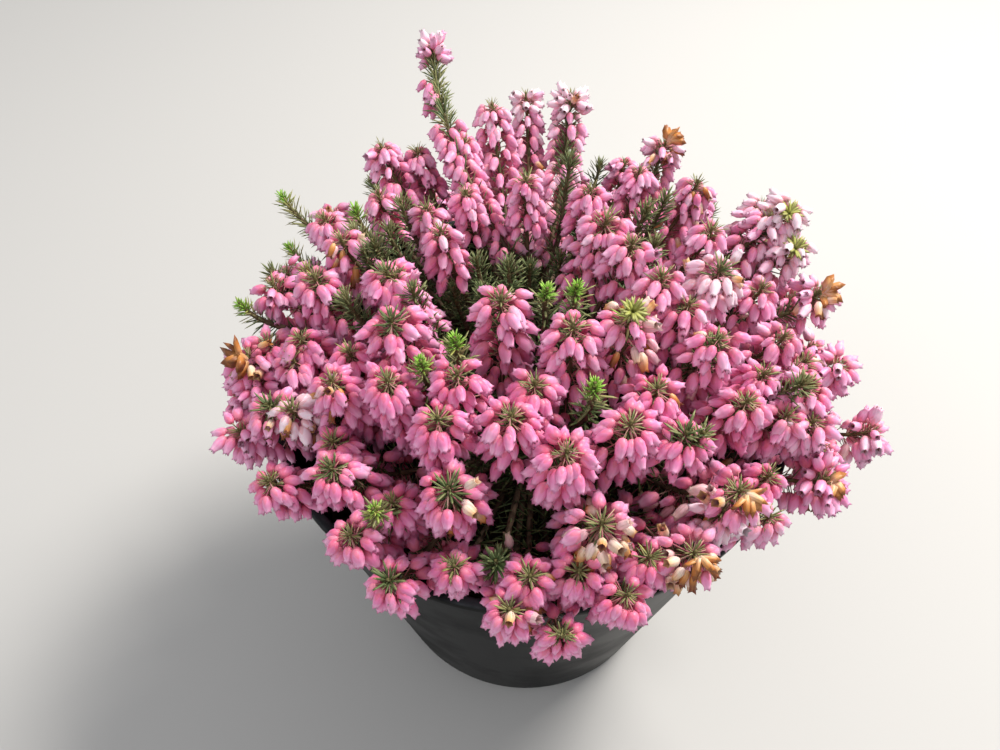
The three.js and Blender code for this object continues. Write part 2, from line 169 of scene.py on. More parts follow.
# Flowered tips: azimuth in degrees, reach from the pot's axis, lift over the dome, rod length, rod radius,
# percentage of faded bells, paleness of the fresh ones in percent
FLOWERED = [
    (275, 58, 2, 30, 9, 2, 10), (252, 66, 0, 34, 9.5, 24, 10), (262, 50, 0, 32, 9, 0, 10),
    (291, 54, 0, 34, 9, 2, 10), (280, 71, 2, 22, 9.5, 50, 25), (302, 60, 0, 26, 8.5, 5, 0),
    (307, 74, 0, 34, 9.5, 22, 20), (295, 79, 0, 32, 9.5, 40, 25), (283, 82, 0, 30, 8.5, 0, 15),
    (273, 86, -2, 28, 8, 0, 10), (265, 83, 0, 28, 8.5, 16, 10), (246, 83, 0, 28, 8, 0, 10),
    (229, 72, 0, 36, 8.5, 2, 10), (237, 79, -2, 28, 8, 0, 10), (218, 82, 0, 30, 8, 0, 10),
    (245, 54, 0, 26, 8.5, 0, 0), (228, 52, 0, 32, 8.5, 2, 0), (216, 60, 0, 28, 8, 12, 10),
    (214, 42, 0, 34, 9.5, 3, 10), (191, 78, 0, 38, 9, 10, 25), (207, 75, 0, 32, 8.5, 6, 20),
    (203, 85, 0, 30, 8, 0, 30), (174, 73, 0, 34, 8.5, 0, 25), (182, 57, 0, 32, 8, 3, 20),
    (172, 51, 2, 28, 7.5, 12, 25), (192, 38, 0, 28, 8, 2, 15), (158, 63, 2, 34, 8, 0, 30),
    (132, 66, 10, 40, 8, 0, 40), (111, 81, 39.5, 66, 7, 0, 40), (101, 60, 13, 46, 8.5, 0, 45),
    (91, 72, 18, 46, 7.5, 2, 65), (80, 70, 18, 50, 8, 3, 65), (54, 69, 9, 42, 8.5, 20, 50),
    (38, 60, 2, 36, 8, 12, 40), (20, 77, 15, 44, 9, 3, 80), (4, 80, 6, 38, 8, 15, 50),
    (352, 46, 2, 38, 9, 10, 76), (338, 74, 0, 34, 8.5, 3, 30), (343, 99, 19, 40, 8.5, 5, 45),
    (329, 88, 0, 34, 8.5, 8, 30), (322, 62, -3, 34, 8.5, 5, 20), (328, 50, 0, 34, 8.5, 3, 20),
    (350, 84, 3, 36, 7.5, 8, 40), (305, 47, -5, 28, 8.5, 2, 10), (311, 32, 0, 34, 9, 30, 30),
    (285, 29, 0, 32, 9, 0, 20), (246, 22, 0, 34, 8.5, 2, 25), (25, 20, 0, 34, 9, 0, 30),
    (140, 84, 0, 32, 8.5, 3, 30), (60, 86, 0, 34, 8.5, 5, 35), (98, 90, 4, 30, 8, 5, 30),
    (30, 88, 3, 34, 8.5, 5, 50),
]

# Azimuth and reach of the rods whose near side shows the leaves, of the tall one that is leafy under its tip,
# and of the ones with a large tuft
OPEN_FACED = [(80, 70), (54, 69), (111, 81)]
BARE_NECKED = (111, 81)
LEAFY_HEADS = [(214, 42), (192, 38), (252, 66), (229, 72), (302, 60), (246, 83), (207, 75), (311, 32), (352, 46)]

# Rods whose tip leaves are lime, and the ones whose old bells gather on one side, with that side
LIME_HEADS = [(311, 32), (20, 77), (14, 76)]
OLD_SIDES = {(311, 32): (0.8, 0.35, 0.5), (252, 66): (0.6, -0.7, 0.2), (352, 46): (0.3, 0.0, 0.9)}

# Rods that bare the leaves along their upper side
STRIPPED = [(229, 72), (338, 74), (218, 82), (60, 86), (4, 80), (182, 57), (207, 75)]

# Rods whose bells end this far below the tip, in millimetres, with bare twig under them
SHORT = {(302, 60): 9, (291, 54): 19, (262, 50): 15, (275, 58): 18, (252, 66): 20, (305, 47): 18, (245, 54): 16}

# Tall back tips whose top bells stand up in a pale crown
CROWNED = [(111, 81), (91, 72), (80, 70)]

# Tips that carry a fan of brown papery lobes
BRONZED = [(191, 78), (329, 88), (4, 80), (54, 69), (307, 74), (295, 79)]

# The one of them whose fan is large and dark
DARK_FAN = (191, 78)

# Lower spikes between them, of finer growth than the solids hold
BETWEEN = [
    (240, 68, -10, 26, 7, 0, 0), (318, 74, -8, 28, 7, 0, 10), (334, 62, -6, 28, 7, 3, 20),
    (344, 70, -8, 28, 7, 3, 20), (0, 60, -4, 30, 7.5, 3, 30), (14, 48, 0, 30, 7.5, 3, 30),
    (48, 44, 2, 30, 7.5, 6, 30), (112, 52, 4, 34, 7.5, 0, 30), (124, 60, 4, 32, 7.5, 0, 30),
    (146, 52, 0, 28, 7, 0, 25), (196, 62, -4, 28, 7.5, 2, 10), (208, 52, -6, 26, 7, 0, 0),
    (222, 66, -8, 26, 7, 0, 0), (268, 40, -4, 28, 8, 0, 10), (337, 40, -3, 28, 8, 0, 30),
    (27, 76, 9, 34, 7.5, 0, 65), (14, 76, 8, 34, 7.5, 0, 75), (20, 71, 8, 32, 7.5, 0, 45),
    (244, 43, -1, 28, 8.5, 0, 0), (340, 32, 0, 30, 8, 2, 30), (0, 24, 0, 30, 8, 0, 30), (95, 26, 0, 30, 8, 0, 30),
    (55, 26, 0, 28, 8, 0, 30), (128, 30, -2, 26, 7.5, 0, 30), (335, 84, -6, 28, 7.5, 3, 30),
    (120, 80, -4, 28, 7.5, 0, 20), (78, 82, -8, 24, 7.5, 0, 20), (46, 80, -2, 28, 7.5, 0, 30),
    (16, 86, -4, 28, 7.5, 0, 30), (160, 80, -6, 26, 7.5, 0, 20), (186, 84, -6, 26, 7, 0, 10),
    (68, 90, -10, 26, 7.5, 0, 30), (84, 91, -8, 26, 7.5, 0, 30), (110, 90, -6, 28, 7.5, 0, 30),
    (126, 88, -6, 28, 7.5, 0, 30), (52, 89, -8, 26, 7.5, 0, 30), (90, 80, 2, 30, 7.5, 0, 35),
    (66, 78, 0, 30, 7.5, 0, 35), (104, 76, 2, 30, 7.5, 0, 30), (148, 90, -8, 26, 7, 0, 25),
    (38, 92, -8, 26, 7, 0, 35), (8, 90, -8, 26, 7, 0, 40), (189, 72, -4, 28, 8, 3, 20),
    (199, 65, -5, 28, 8, 0, 20), (195, 77, -6, 28, 8, 0, 20), (193, 83, -6, 26, 7.5, 0, 20),
    (211, 70, -3, 28, 7.5, 20, 95), (347, 65, -4, 28, 7.5, 0, 35), (347, 73, -5, 26, 7.5, 0, 35),
    (304, 74, -5, 26, 7.5, 5, 70), (312, 80, -4, 26, 7.5, 0, 40), (329, 71, -4, 26, 7.5, 0, 30),
    (332, 78, 0, 28, 7.5, 2, 40), (193, 36, -2, 26, 7.5, 0, 20), (148, 34, -2, 28, 7.5, 0, 35),
    (161, 26, -3, 24, 7.5, 0, 30), (276, 76, -4, 24, 7.5, 0, 10), (288, 76, -4, 24, 7.5, 0, 15),
    (268, 77, -3, 24, 7.5, 5, 10), (255, 75, -9, 22, 7, 0, 10),
]

# Leafy tips without flowers: azimuth in degrees, reach, lift, leafy length, brightness of the young leaf in percent
LEAFY = [
    (262, 73, -9, 16, 0), (240, 74, 0, 16, 80), (286, 43, -2, 12, 100), (276, 18, 0, 12, 100),
    (298, 19, 0, 12, 100), (237, 36, -1, 14, 100), (151, 41, 0, 16, 40), (158, 52, 2, 14, 95),
    (174, 42, 0, 14, 35), (166, 49, 0, 14, 40), (168, 39, 0, 14, 35), (176, 44, -2, 14, 30),
    (193, 49, -2, 16, 40), (202, 33, -3, 18, 30), (154, 80, 15, 20, 95), (149, 90, 2, 14, 90),
    (177, 60, -1, 14, 60), (170, 74, 0, 14, 30), (180, 79, 5, 12, 90), (155, 17, -13, 12, 20),
    (143, 9, -13, 12, 20), (190, 14, -15, 12, 10), (75, 42, 0, 22, 20), (32, 42, 0, 20, 30), (31, 35, -2, 18, 30),
    (8, 31, -3, 16, 30), (233, 45, 0, 16, 90), (305, 62, 1, 14, 45), (334, 71, 2, 16, 40), (326, 49, -2, 14, 30),
    (120, 89, 2, 26, 40), (80, 90, 0, 26, 30), (46, 88, 0, 26, 30), (130, 78, 0, 24, 30), (108, 80, -6, 20, 20),
    (72, 78, -4, 24, 20), (90, 66, -8, 20, 20), (95, 12, -20, 16, 15), (125, 24, -22, 16, 10),
    (62, 16, -18, 16, 15), (170, 22, -20, 16, 10), (100, 34, -20, 16, 10), (30, 28, -16, 16, 15),
]


def polar(azimuth, reach, z):
    """Point at an azimuth in degrees, a reach from the axis and a height."""
    a = math.radians(azimuth)
    return np.array([reach * math.cos(a), reach * math.sin(a), z])


def unit(v):
    """v over its length, along the last axis."""
    return v / np.maximum(np.linalg.norm(v, axis=-1, keepdims=True), 1e-12)


def dome_height(reach):
    """Edge height plus the rise times (1 - (reach / dome reach) ^ power) ^ roundness."""
    return DOME_EDGE + DOME_RISE * max(0.0, 1 - (reach / DOME_REACH) ** DOME_POWER) ** DOME_ROUND


def lean_at(azimuth, reach):
    """Lean over the horizontal, falling evenly with reach and faster past the break, with a rise at the front."""
    beyond = max(0.0, reach - LEAN_BREAK)
    lean = LEAN_TOP - LEAN_FALL * (reach - beyond) - LEAN_EDGE * beyond
    front = max(0.0, -math.sin(math.radians(azimuth)))
    share = min(max((LIFT_GONE - reach) / (LIFT_GONE - LIFT_FULL), 0.0), 1.0)
    return min(LEAN_TOP, lean + FRONT_LIFT * front * share)


def catmull(knots, t):
    """Uniform Catmull-Rom curve through the knots, at parameters t from 0 to 1."""
    knots = np.asarray(knots, float)
    padded = np.vstack([2 * knots[0] - knots[1], knots, 2 * knots[-1] - knots[-2]])
    at = np.clip(np.asarray(t, float), 0, 1) * (len(knots) - 1)
    i = np.minimum(at.astype(int), len(knots) - 2)
    u = (at - i)[..., None]
    a, b, c, d = (padded[i + k] for k in range(4))
    return 0.5 * (2 * b + (c - a) * u + (2 * a - 5 * b + 4 * c - d) * u**2 + (3 * b - a - 3 * c + d) * u**3)


def bezier(a, b, c, d, t):
    """Cubic Bezier curve at parameters t."""
    t = np.asarray(t, float)[:, None]
    s = 1 - t
    return s**3 * a + 3 * s**2 * t * b + 3 * s * t**2 * c + t**3 * d


def leader(branch, t):
    """A branch's leader: upright through the compost, then leaning out."""
    azimuth = (branch + 0.5) * 360 / BRANCHES
    knots = [
        polar(azimuth, STEM_RING, SOIL_TOP - STEM_SUNK),
        polar(azimuth, STEM_RING, SOIL_TOP + STEM_RISE),
        polar(azimuth, STEM_RING + STEM_OUT, SOIL_TOP + STEM_BEND),
        polar(azimuth, LEADER_REACH, LEADER_TOP),
    ]
    return catmull(knots, t)


def transported(points):
    """Unit tangents and two unit normals at each point, the normals turned by the least amount."""
    w = unit(np.gradient(points, axis=0))
    u = np.zeros_like(w)
    seed = np.array([0.31, 0.52, 0.79])
    for i, tangent in enumerate(w):
        seed = seed - tangent * (seed @ tangent)
        seed = seed / np.linalg.norm(seed)
        u[i] = seed
    return w, u, np.cross(w, u)


def wall_radius(z):
    """Outer radius of the pot's straight wall at a height."""
    top = RIM_RADIUS - RIM_STEP
    return BASE_RADIUS + (top - BASE_RADIUS) * z / POT_HEIGHT


def placed(name, data):
    """A new object with the given data, linked to the scene."""
    ob = bpy.data.objects.new(name, data)
    bpy.context.scene.collection.objects.link(ob)
    return ob


class Heap:
    """Arrays of one piece: points, triangles, their slots, a look for each point and a map for each corner."""

    def __init__(self):
        self.points, self.faces, self.slots, self.looks, self.maps = [], [], [], [], []
        self.count = 0

    def add(self, points, faces, slot=0, look=(0, 0, 0), corner_map=None):
        faces = np.asarray(faces)
        self.points.append(points)
        self.faces.append(faces + self.count)
        self.slots.append(np.broadcast_to(slot, len(faces)))
        self.looks.append(np.broadcast_to(look, (len(points), 3)))
        self.maps.append(np.zeros((len(faces) * 3, 2)) if corner_map is None else corner_map)
        self.count += len(points)

    def mesh(self, name, materials):
        """The heap as an object at the origin, in metres, smooth, with its look and map."""
        points = np.concatenate(self.points) * MM
        faces = np.concatenate(self.faces)
        me = bpy.data.meshes.new(name)
        me.vertices.add(len(points))
        me.loops.add(len(faces) * 3)
        me.polygons.add(len(faces))
        me.vertices.foreach_set("co", points.astype(np.float32).ravel())
        me.loops.foreach_set("vertex_index", faces.astype(np.int32).ravel())
        me.polygons.foreach_set("loop_start", np.arange(len(faces), dtype=np.int32) * 3)
        me.polygons.foreach_set("material_index", np.concatenate(self.slots).astype(np.int32))
        me.polygons.foreach_set("use_smooth", np.ones(len(faces), bool))
        me.update(calc_edges=True)
        me.validate()
        look = me.attributes.new("look", "FLOAT_VECTOR", "POINT")
        look.data.foreach_set("vector", np.concatenate(self.looks).astype(np.float32).ravel())
        uv = me.uv_layers.new(name="Surface")
        uv.data.foreach_set("uv", np.concatenate(self.maps).astype(np.float32).ravel())
        for material in materials:
            me.materials.append(material)
        return placed(name, me)


def angles(sides):
    """Evenly spaced angles round a ring, in radians."""
    return np.arange(sides) * 2 * math.pi / sides


def circle(radius, sides):
    """Points (x, y) evenly spaced round a circle."""
    a = angles(sides)
    return np.stack([radius * np.cos(a), radius * np.sin(a)], 1)


def band_faces(rings, sides):
    """Triangles between successive rings, facing out when rings run anticlockwise seen from the end."""
    k = np.arange(sides)
    n = (k + 1) % sides
    faces = []
    for r in range(rings - 1):
        a, b = r * sides, (r + 1) * sides
        faces.append(np.stack([a + k, a + n, b + n], 1))
        faces.append(np.stack([a + k, b + n, b + k], 1))
    return np.concatenate(faces)


def fan_faces(ring, sides, pole, beyond):
    """Triangles from a ring to a pole, turned as for one beyond the last ring or as for one before the first."""
    k = ring * sides + np.arange(sides)
    n = ring * sides + (np.arange(sides) + 1) % sides
    pole = np.full(sides, pole)
    return np.stack([k, n, pole] if beyond else [n, k, pole], 1)


def band_map(rings, sides, levels):
    """Map of band_faces: across the turn from 0 to 1, and along the given levels."""
    k = np.arange(sides)
    lo, hi = k / sides, (k + 1) / sides
    out = []
    for r in range(rings - 1):
        a, b = np.full(sides, levels[r]), np.full(sides, levels[r + 1])
        out.append(np.stack([lo, a, hi, a, hi, b], 1).reshape(-1, 2))
        out.append(np.stack([lo, a, hi, b, lo, b], 1).reshape(-1, 2))
    return np.concatenate(out)


def fan_map(sides, ring_level, pole_level, beyond):
    """Map of fan_faces: the ring at one level and the pole, midway across each side, at another."""
    k = np.arange(sides)
    a, b = (k, k + 1) if beyond else (k + 1, k)
    level, pole = np.full(sides, ring_level), np.full(sides, pole_level)
    return np.stack([a / sides, level, b / sides, level, (k + 0.5) / sides, pole], 1).reshape(-1, 2)


def tube(heap, points, radii, sides, slot, look):
    """A closed tube: rings of the given radii round a line of points, with a pole at each end."""
    w, u, v = transported(points)
    a = angles(sides)
    ring = np.cos(a)[None, :, None] * u[:, None] + np.sin(a)[None, :, None] * v[:, None]
    body = (points[:, None] + ring * np.asarray(radii)[:, None, None]).reshape(-1, 3)
    poles = points[:1] - w[:1] * radii[0] * 0.5, points[-1:] + w[-1:] * radii[-1] * 0.6
    n = len(points)
    ends = fan_faces(0, sides, n * sides, False), fan_faces(n - 1, sides, n * sides + 1, True)
    faces = np.concatenate([band_faces(n, sides), *ends])
    flat = band_map(n, sides, np.linspace(0, 1, n)), np.zeros((sides * 3, 2)), np.ones((sides * 3, 2))
    heap.add(np.concatenate([body, *poles]), faces, slot, look, np.concatenate(flat))


def bell_shape(neck, flare, belly, depth=0.66):
    """An egg-shaped urn of eight sides, slightly squared: radius swelling to the belly, drawn in to the neck, four
    short lobes turned out by flare, a wall going back inside to depth, and a dark cone of anthers in the mouth."""
    sides = BELL_SIDES
    profile = [(BELL_FOOT, belly * 0.6), (0.3, belly), (0.62, belly * 0.95), (0.88, neck), (BELL_LIP, neck + flare)]
    a = angles(sides)
    rings = []
    for i, (z, r) in enumerate(profile):
        radius, height = r * (1 + 0.05 * np.cos(4 * a)), np.full(sides, z)
        if i == len(profile) - 1:
            notch = np.arange(sides) % 2 == 1
            radius[notch] = neck
            height[notch] = BELL_NOTCH
        rings.append(np.stack([radius * np.cos(a), radius * np.sin(a), height], 1))
    square = np.column_stack([circle(0.08, 4), np.full(4, depth + 0.12)])
    points = np.concatenate([*rings, [[0, 0, 0.0], [0, 0, depth]], square, [[0, 0, depth + 0.43]]])
    n = len(profile)
    pole = n * sides
    cone = pole + 2 + np.array([(0, 1, 4), (1, 2, 4), (2, 3, 4), (3, 0, 4), (0, 2, 1), (0, 3, 2)])
    ends = fan_faces(0, sides, pole, False), fan_faces(n - 1, sides, pole + 1, True)
    urn = np.concatenate([band_faces(n, sides), *ends])
    flat = band_map(n, sides, [z for z, _ in profile])
    foot, mouth = fan_map(sides, BELL_FOOT, 0.0, False), fan_map(sides, BELL_LIP, 1.5, True)
    maps = np.concatenate([flat, foot, mouth, np.full((cone.size, 2), 0.5)])
    return points, np.concatenate([urn, cone]), np.repeat([0, 2], [len(urn), len(cone)]), maps


def needle_shape(width, curve, slot=1):
    """A three-sided needle: rings at three heights drawn to a point, bent by curve times the height squared."""
    a = np.array([0.5, 1.1666, 1.8333]) * math.pi
    heights = [0, 0.3, 0.75]
    rings = []
    for z, r in zip(heights, (0.5, 1.0, 0.85)):
        rings.append(np.stack([r * width * np.cos(a) * 1.2, r * width * np.sin(a) * 0.6, np.full(3, z)], 1))
    points = np.concatenate([*rings, [[0, 0, 1.0]]])
    points[:, 1] += curve * points[:, 2] ** 2
    faces = np.concatenate([band_faces(3, 3), [(6, 7, 9), (7, 8, 9), (8, 6, 9)], [(0, 2, 1)]])
    flat = np.concatenate([band_map(3, 3, heights), np.tile([0.5, 1.0], (9, 1)), np.zeros((3, 2))])
    return points, faces, np.full(len(faces), slot), flat


def kept_in(origins, reach):
    """Origins moved and reaches shrunk so that each copy lies in the solids' box, and which copies can be kept:
    moved by no more than the nudge, shrunk to no less than the least fit and clear of the pot's wall and rim."""
    over = np.clip((origins[:, None] + reach).max(axis=1) - HIGH, 0, NUDGE)
    origins = origins + (np.clip(LOW - (origins[:, None] + reach).min(axis=1), 0, NUDGE) - over)
    room = np.where(reach > 0, HIGH - origins[:, None], origins[:, None] - LOW)
    fits = np.clip((room / np.maximum(np.abs(reach), 1e-9)).min(axis=(1, 2)), 0, 1)
    body = origins[:, None] + reach * fits[:, None, None]
    radius = np.hypot(body[:, :, 0], body[:, :, 1])
    inner = np.minimum(wall_radius(body[:, :, 2]) - WALL - WALL_ROOM, RIM_RADIUS - RIM_INSIDE)
    low = body[:, :, 2] < POT_HEIGHT + RIM_ROOM
    blocked = low & (radius > inner) & (radius < RIM_RADIUS + RIM_ROOM)
    return body, (fits > LEAST_FIT) & ~blocked.any(axis=1)


def repeat(heap, shape, origins, axes, sides, sizes, tone, age):
    """Copies of a shape: each point is the origin plus size times its parts along side, across and axis."""
    if not len(origins):
        return
    points, faces, slots, maps = shape
    axes = unit(axes)
    sides = unit(sides - axes * np.sum(sides * axes, axis=1, keepdims=True))
    frames = np.stack([sides, np.cross(axes, sides), axes], 1)
    size = np.broadcast_to(sizes, (len(origins),))[:, None, None]
    x, y, z = (points[None, :, k : k + 1] * frames[:, k, None] for k in range(3))
    body, keep = kept_in(origins, size * (x + y + z))
    copies, n = int(keep.sum()), len(points)
    if not copies:
        return
    look = np.empty((copies, n, 3))
    look[:, :, 0] = points[:, 2]
    look[:, :, 1] = np.asarray(tone)[keep, None]
    look[:, :, 2] = np.asarray(age)[keep, None]
    heap.add(
        body[keep].reshape(-1, 3),
        (faces[None] + np.arange(copies)[:, None, None] * n).reshape(-1, 3),
        np.tile(slots, copies),
        look.reshape(-1, 3),
        np.tile(maps, (copies, 1)),
    )


# Bells by neck, flare and belly; needles by width and curve
BELLS = [bell_shape(*kind) for kind in ((0.17, 0.035, 0.285), (0.18, 0.06, 0.295), (0.155, 0.025, 0.275))]
GAPING = bell_shape(0.2, 0.06, 0.28, 0.35)
WITHERED = bell_shape(0.17, 0.13, 0.21, 0.4)
NEEDLES = [needle_shape(*kind) for kind in ((0.062, 0.16), (0.054, -0.14), (0.058, 0.05))]
YOUNG = [needle_shape(*kind) for kind in ((0.11, 0.3), (0.1, 0.22), (0.12, 0.12))]
FLAKES = [needle_shape(*kind, 0) for kind in ((0.26, 0.35), (0.22, -0.2), (0.3, 0.1))]
THREADS = [needle_shape(*kind) for kind in ((0.05, 0.1), (0.046, -0.1), (0.05, 0.18))]


def spike(entry):
    """A tip's line: a bend from the leader of its branch, then nearly straight to the tip along its lean. Its last
    part turns upward; flat runs from 0 on an upright rod to 1 on a level one."""
    azimuth, reach, lift, length = entry[:4]
    key = (azimuth, reach)
    flowered = len(entry) == 7
    whole = length + TUFT_LENGTH if flowered else length
    lean = math.radians(lean_at(azimuth, reach))
    end = polar(azimuth, reach, dome_height(reach) + lift)
    axis = polar(azimuth, math.cos(lean), math.sin(lean))
    facing = reach > FACING_REACH and math.sin(math.radians(azimuth)) < FACING_SIDE
    flat = 0.0 if facing else float(np.clip(FLAT_FROM - FLAT_FALL * math.sin(lean), 0, 1))
    if flowered and not facing and key != BARE_NECKED:
        room = min((HIGH - end)[:2].min(), (end - LOW)[:2].min())
        end = end - axis * (FLAT_DROP * flat + max(0.0, TIP_ROOM - room))
    steps = np.linspace(0, whole, SPIKE_STEPS)
    bend = FACING_BEND if facing else TIP_BEND
    most = min(math.radians(FACING_TURN if facing else TIP_TURN), (math.pi / 2 - lean) * TURN_SHARE)
    turn = np.clip((steps - whole + bend) / bend, 0, 1) ** TURN_POWER * most
    level = polar(azimuth, 1.0, 0.0)
    way = level * np.cos(lean + turn)[:, None] + UP * np.sin(lean + turn)[:, None]
    rising = np.cumsum((way[1:] + way[:-1]) / 2, axis=0) * (steps[1] - steps[0])
    start = end - rising[-1]
    branch = int(azimuth // (360 / BRANCHES))
    share = min(max((start[2] - FORK_HEIGHT) / FORK_SPAN, 0.02), 0.98)
    root = leader(branch, FORK_PLACE + FORK_RUN * share)
    run = np.linalg.norm(start - root)
    away = unit(unit(start - root) + UP * FOOT_LIFT)
    ends = root + away * run * FOOT_PULL, start - axis * run * FOOT_PULL
    foot = bezier(root, *ends, start, np.linspace(0, 1, FOOT_STEPS))
    side = unit(np.cross(axis, [0.3, 0.2, 0.9]))
    bow = TALL_BOW if key == BARE_NECKED else rng.uniform(-BOW, BOW)
    straight = start + rising + side * (np.sin(steps[1:, None] / whole * math.pi) * bow)
    line = np.concatenate([foot, straight])
    return {
        "key": key,
        "entry": entry,
        "branch": branch,
        "line": line,
        "at": np.concatenate([[0], np.cumsum(np.linalg.norm(np.diff(line, axis=0), axis=1))]),
        "whole": whole,
        "flowered": flowered,
        "leafy": 1.4 if key in LEAFY_HEADS else rng.uniform(0.85, 1.18) * (0.75 if key in CROWNED else 1.0),
        "crowned": key in CROWNED,
        "strip": 1.0 if key in STRIPPED else 0.3,
        "flat": flat,
        "facing": facing,
        "open": key in OPEN_FACED,
        "bare": key == BARE_NECKED,
    }


def along(sp, s):
    """Points and frames of a spike's line at distances s from its root."""

    def pick(a):
        return np.stack([np.interp(s, sp["at"], a[:, k]) for k in range(3)], 1)

    w, u, _ = transported(sp["line"])
    w, u = unit(pick(w)), pick(u)
    u = unit(u - w * np.sum(u * w, axis=1, keepdims=True))
    return pick(sp["line"]), w, u, np.cross(w, u)


def around(span, per, step):
    """Distances and turns of whorls: per pieces at each step, each whorl turned by half a place."""
    rows = np.arange(span[0], span[1], step)
    row, k = np.meshgrid(np.arange(len(rows)), np.arange(per), indexing="ij")
    turn = (k + 0.5 * (row % 2)) * 2 * math.pi / per
    return rows[row].ravel(), turn.ravel()


def add_needles(heap, sp, span, per, step, lengths, rise, young, tone, shapes=NEEDLES):
    """Needles in whorls over a span of a spike. Length, rise off the line and age run between two given values."""
    s, turn = around(span, per, step)
    if not len(s):
        return
    n = len(s)
    s = s + rng.uniform(-0.3, 0.3, n) * step
    turn = turn + rng.uniform(-0.25, 0.25, n)
    share = (s - span[0]) / max(span[1] - span[0], 1e-6)
    p, w, u, v = along(sp, s)
    out = np.cos(turn)[:, None] * u + np.sin(turn)[:, None] * v
    lift = np.interp(share, [0, 1], rise)[:, None] + rng.uniform(-0.15, 0.15, (n, 1))
    axis = unit(out + w * lift + rng.normal(0, 0.13, (n, 3)))
    size = np.interp(share, [0, 1], lengths) * rng.uniform(0.68, 1.15, n)
    pick = rng.integers(0, len(shapes), n)
    tones = np.clip(tone + rng.normal(0, 0.18, n), 0, 1)
    ages = np.clip(np.interp(share, [0, 1], young) + rng.normal(0, 0.06, n), 0, 1)
    cross = np.cross(axis, w)
    for i, shape in enumerate(shapes):
        m = pick == i
        repeat(heap, shape, p[m] + out[m] * 0.35, axis[m], cross[m], size[m], tones[m], ages[m])


def spray(heap, shapes, roots, axis, cross, sizes, ages, tone, dark=0.0):
    """The shapes by turns, one at each root, in the given ranges of size and age; larger and older where dark."""
    for i, shape in enumerate(shapes):
        m = np.arange(len(roots)) % len(shapes) == i
        n = m.sum()
        size, age = rng.uniform(*sizes, n) * (1 + 0.2 * dark), rng.uniform(*ages, n) + 0.12 * dark
        repeat(heap, shape, roots[m], axis[m], cross[m], size, np.full(n, tone), age)


def add_star(heap, sp, count=22):
    """Young leaves spread all round at steps of the golden angle, facing the sun: from a rod's tip, or from its upper
    side where it leans."""
    facing = unit(SUN)
    across = unit(np.cross(facing, UP))
    over = np.cross(facing, across)
    turn = np.arange(count) * GOLDEN
    axis = np.cos(turn)[:, None] * across + np.sin(turn)[:, None] * over
    axis = unit(axis + facing * rng.uniform(0.15, 1.4, (count, 1)))
    end, w, _, _ = along(sp, np.full(count, sp["at"][-1]))
    tip = end - w * 7.0 * sp["flat"] + facing * (1.2 + 5.5 * sp["flat"])
    spray(heap, YOUNG, tip, axis, np.cross(axis, facing), (3.3, 4.5), (0.55, 0.69), 0.9)


def add_stalks(heap, roots, ends):
    """Three-sided stalks from each root to its end, closed at both ends; those outside the box are left off."""
    low, high = LOW + 0.3, HIGH - 0.3
    inside = ((ends > low) & (ends < high) & (roots > low) & (roots < high)).all(axis=1)
    roots, ends = roots[inside], ends[inside]
    n = len(roots)
    w = unit(ends - roots)
    u = unit(np.cross(w, [0.3, 0.5, 0.8]))[:, None, None]
    v = np.cross(w, u[:, 0, 0])[:, None, None]
    a = angles(3)[None, None, :, None]
    body = np.stack([roots, ends], 1)[:, :, None] + (np.cos(a) * u + np.sin(a) * v) * STALK_RADIUS
    face = np.concatenate([band_faces(2, 3), [(0, 2, 1), (3, 4, 5)]])
    faces = (face[None] + np.arange(n)[:, None, None] * 6).reshape(-1, 3)
    tones = np.repeat(rng.uniform(0.2, 1.0, n), 6)
    look = np.stack([np.full(n * 6, 0.2), tones, np.zeros(n * 6)], 1)
    heap.add(body.reshape(-1, 3), faces, 1, look, np.tile([0.5, 0.2], (len(faces) * 3, 1)))


def add_fan(heap, sp, count=9):
    """Papery lobes spread like a fan from just under the tip, outward and facing the sun."""
    p, w, _, _ = along(sp, sp["at"][-1] - rng.uniform(0.5, 3.0, count))
    facing = unit(SUN)
    outward = polar(sp["key"][0], 1.0, 0.0)
    outward = unit(outward - facing * (outward @ facing))
    turn = np.linspace(-1.2, 1.2, count) + rng.normal(0, 0.1, count)
    axis = np.cos(turn)[:, None] * outward + np.sin(turn)[:, None] * np.cross(facing, outward)
    axis = unit(axis + facing * rng.uniform(0.1, 0.7, (count, 1)))
    dark = float(sp["key"] == DARK_FAN)
    root = p + facing * (2.2 + 1.8 * dark) + outward * 0.8
    spray(heap, FLAKES, root, axis, w, (4.0, 5.4), (0.68, 0.86), 0.2, dark)


def kept_bells(sp, s, out, start):
    """Which bells of a rod stay: the ones that don't hide its leaves or its bare neck."""
    under = sp["at"][-1] - s
    n = len(s)
    above = np.clip(out[:, 2] - 0.25, 0, 0.5)
    if sp["open"]:
        keep = (out[:, 1] > -0.55) | (under < 6) | (s < start + 8) | (rng.random(n) < 0.12)
    elif sp["facing"]:
        keep = rng.random(n) > 1.5 * above * (under < 7)
    else:
        keep = rng.random(n) > 1.7 * sp["strip"] * above * np.clip(under / 5 - sp["flat"], 0, 1)
    if sp["bare"]:
        neck = (under > NECK[0]) & (under < NECK[1])
        keep &= ~neck | ((out[:, 0] < -0.1) & (under > NECK_BELLS[0]) & (under < NECK_BELLS[1]))
    return keep


